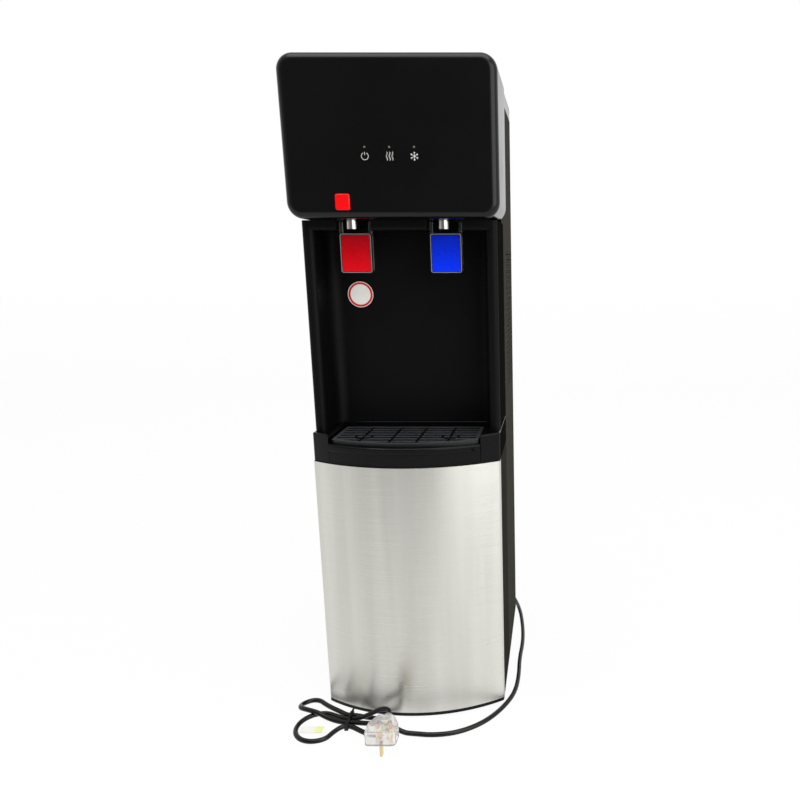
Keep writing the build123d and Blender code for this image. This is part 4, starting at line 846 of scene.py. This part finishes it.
cord_route = [
    (0.075, 0.207, 0.040),
    (0.075, 0.237, 0.040),
    (0.092, 0.268, 0.020),
    (0.131, 0.270, 0.006),
    (0.151, 0.232, CORD_Z),
    (0.166, 0.178, CORD_Z),
    (0.175, 0.112, CORD_Z),
    (0.179, 0.045, CORD_Z),
    (0.175, -0.018, CORD_Z),
    (0.177, -0.076, CORD_Z),
    (0.173, -0.128, CORD_Z),
    (0.155, -0.172, CORD_Z),
    (0.126, -0.212, CORD_Z),
]
cord_route += cord_run((241.0, 43.0, CORD_Z), (200.0, 50.0, CORD_Z), (167.0, 46.0, CORD_Z))
cord_route += cord_run((150.5, 44.0, CORD_Z), (130.0, 39.5, OVER_Z), (109.0, 33.5, OVER_Z))
cord_route += cord_run((85.0, 25.0, 0.008))
cord_route += cord_lane(1, -1)
cord_route += cord_run((28.0, 15.0, 0.0054), (11.0, 9.5, 0.008), (-8.0, 2.5, OVER_Z))
cord_route += cord_turn(-26.0, -25.0, 20.0, 255.0, -38.0, [OVER_Z, 0.011, 0.007, CORD_Z, CORD_Z, CORD_Z])
cord_route += cord_run((-5.0, -32.5, CORD_Z), (10.0, -22.0, CORD_Z), (28.0, -11.0, 0.0046))
cord_route += cord_lane(3, 1)
cord_route += cord_run((75.0, 3.0, CORD_Z))
cord_route += cord_turn(103.0, 29.0, 22.0, 105.0, -35.0, [CORD_Z] * 7)
cord_route += cord_run((78.0, 40.5, 0.0046))
cord_route += cord_lane(0, -1)
cord_route += cord_run((32.0, 42.0, CORD_Z))
cord_route += cord_turn(3.0, 29.0, 38.0, -55.0, -36.0, [CORD_Z] * 7)
cord_route += cord_run((29.0, 3.0, 0.0046))
cord_route += cord_lane(2, 1)
cord_route += cord_run((75.0, 12.5, 0.011), (93.0, 15.0, 0.022))
cord_route += cord_run((111.0, 18.0, PLUG_AXIS_Z - 0.001), (125.0, 26.5, PLUG_AXIS_Z))
cord_route += [(PLUG_X, PLUG_NECK_Y, PLUG_AXIS_Z)]

flex_black = moulding(
    "flex_black", (0.002, 0.002, 0.0022), rough=0.24, grain=900.0, depth=0.00003, specular=0.3
)
mains_lead = link_curve("mains_lead", [cord_route], CORD_R)
dress(mains_lead, flex_black, "cabinet")
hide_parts("mains_cord", "cord_hank")

# The tie and the tag: a flat black tie around the four runs of the hank, its two ends twisted together,
# and a blank paper flag with a yellow band.
TWIST_STEPS = 40
TWIST_TURNS = 3.0
TWIST_R = 0.0011
TWIST_WIRE_R = 0.0009
TWIST_FLARE = 1.6
TWIST_FLARE_FROM = 0.75
TWIST_START = Vector((-0.1035, -0.2075, 0.0113))
TWIST_LEAN = Vector((0.006, 0.011, 0.013))
TAG_WHITE = (0.83, 0.83, 0.79)
TAG_YELLOW = (0.80, 0.80, 0.38)
TAG_BAND = (0.024, 0.026)

twist_side = TWIST_LEAN.cross(Vector((0.0, 0.0, 1.0))).normalized()
twist_up = twist_side.cross(TWIST_LEAN).normalized()
twist_routes = []
for phase in (0.0, math.pi):
    route = []
    for n in range(TWIST_STEPS + 1):
        part = n / TWIST_STEPS
        angle = phase + 2.0 * math.pi * TWIST_TURNS * part
        swing = TWIST_R * (1.0 + TWIST_FLARE * max(0.0, part - TWIST_FLARE_FROM))
        place = TWIST_START + TWIST_LEAN * part
        place += twist_side * (swing * math.cos(angle)) + twist_up * (swing * math.sin(angle))
        route.append(tuple(place))
    twist_routes.append(route)
tie_twist = link_curve("tie_twist", twist_routes, TWIST_WIRE_R)
dress(tie_twist, flex_black, "cabinet")
wear(flex_black, "cord_tie")

tag_low, tag_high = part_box("cord_tag")
tag_paper, tag_tree, tag_surface = finish_shell("tag_paper", TAG_WHITE, specular=0.3)
tag_band = rise_along(tag_tree, "X", tag_low.x + TAG_BAND[0], tag_low.x + TAG_BAND[1])
tag_mix = tag_tree.nodes.new("ShaderNodeMix")
tag_mix.data_type = "RGBA"
tag_mix.inputs["A"].default_value = (*TAG_WHITE, 1.0)
tag_mix.inputs["B"].default_value = (*TAG_YELLOW, 1.0)
tag_tree.links.new(tag_band.outputs["Result"], tag_mix.inputs["Factor"])
tag_tree.links.new(tag_mix.outputs["Result"], tag_surface.inputs["Base Color"])
vary(tag_tree, noise(tag_tree, scale=300.0), tag_surface.inputs["Roughness"], low=0.4, high=0.6)
wear(tag_paper, "cord_tag")

# The plug: a clear moulded body over three flat brass pins, with a ceramic fuse, copper terminals,
# the three cores of the lead and a cream cord grip showing through it.
PLUG_FLOOR_Z = 0.0249
PIN_ROW_Y = -0.265
TERMINAL_LOW = (-0.0028, -0.003, 0.0064)
TERMINAL_SIZE = (0.0056, 0.006, 0.0086)
TERMINAL_EDGE = 0.0006
GRIP_HALF = 0.0085
GRIP_Y = (-0.0215, -0.0155)
GRIP_Z = (0.0005, 0.0125)
GRIP_EDGE = 0.0012
CORE_R = 0.0011
CORE_SPREAD = (0.25, 0.5)
CORE_BEND_Y = -0.0245
CORE_DROP_Y = 0.0050
CORE_RISE = (0.0070, 0.0150, 0.0175, 0.0150)
CORE_ENDS = {"brown": (0.0111, 0.0), "blue": (-0.0111, 0.0), "green": (0.0, -0.0222)}
CORE_COLOURS = {"brown": (0.10, 0.035, 0.015), "blue": (0.03, 0.08, 0.32), "green": (0.35, 0.40, 0.06)}

clear_moulding, clear_tree, clear_surface = finish_shell("clear_moulding", (0.95, 0.94, 0.93))
clear_surface.inputs["Transmission Weight"].default_value = 0.8
clear_surface.inputs["IOR"].default_value = 1.18
vary(clear_tree, noise(clear_tree, scale=60.0), clear_surface.inputs["Roughness"], low=0.06, high=0.14)
wear(clear_moulding, "plug_body")
wear(metal("pin_brass", (0.80, 0.63, 0.33), rough=0.28), "plug_pins")
fuse_cream = moulding("fuse_cream", (0.78, 0.72, 0.56), rough=0.3, grain=500.0, depth=0.00002)
wear(fuse_cream, "plug_fuse")


def add_block(shape, low, high):
    made = bmesh.ops.create_cube(shape, size=1.0)["verts"]
    bmesh.ops.scale(shape, vec=[b - a for a, b in zip(low, high)], verts=made)
    bmesh.ops.translate(shape, vec=[(a + b) / 2.0 for a, b in zip(low, high)], verts=made)


def soften(piece, width):
    bevel = piece.modifiers.new("soft_edges", "BEVEL")
    bevel.width = width
    bevel.segments = 2
    bevel.limit_method = "ANGLE"
    for face in piece.data.polygons:
        face.use_smooth = True
    return piece


def build_terminals(shape):
    for x, y in CORE_ENDS.values():
        end = (PLUG_X + x, PIN_ROW_Y + y, PLUG_FLOOR_Z)
        low = [a + b for a, b in zip(end, TERMINAL_LOW)]
        add_block(shape, low, [a + b for a, b in zip(low, TERMINAL_SIZE)])


def build_grip(shape):
    low = (PLUG_X - GRIP_HALF, PLUG_NECK_Y + GRIP_Y[0], PLUG_FLOOR_Z + GRIP_Z[0])
    add_block(shape, low, (PLUG_X + GRIP_HALF, PLUG_NECK_Y + GRIP_Y[1], PLUG_FLOOR_Z + GRIP_Z[1]))


terminals = soften(link_mesh("plug_terminals", build_terminals), TERMINAL_EDGE)
dress(terminals, metal("terminal_copper", (0.85, 0.47, 0.25), rough=0.3), "cabinet")
grip = soften(link_mesh("plug_cord_grip", build_grip), GRIP_EDGE)
dress(grip, fuse_cream, "cabinet")

for word, (x, y) in CORE_ENDS.items():
    # Each core leaves the grip, rises and bends down onto its terminal
    core_route = [
        (PLUG_X + x * CORE_SPREAD[0], PLUG_NECK_Y + GRIP_Y[0], PLUG_FLOOR_Z + CORE_RISE[0]),
        (PLUG_X + x * CORE_SPREAD[1], PLUG_NECK_Y + CORE_BEND_Y, PLUG_FLOOR_Z + CORE_RISE[1]),
        (PLUG_X + x, PIN_ROW_Y + y + CORE_DROP_Y, PLUG_FLOOR_Z + CORE_RISE[2]),
        (PLUG_X + x, PIN_ROW_Y + y, PLUG_FLOOR_Z + CORE_RISE[3]),
    ]
    core = link_curve(f"plug_core_{word}", [core_route], CORE_R)
    core_paint = moulding(f"core_{word}", CORE_COLOURS[word], rough=0.4, grain=800.0, depth=0.00002)
    dress(core, core_paint, "cabinet")
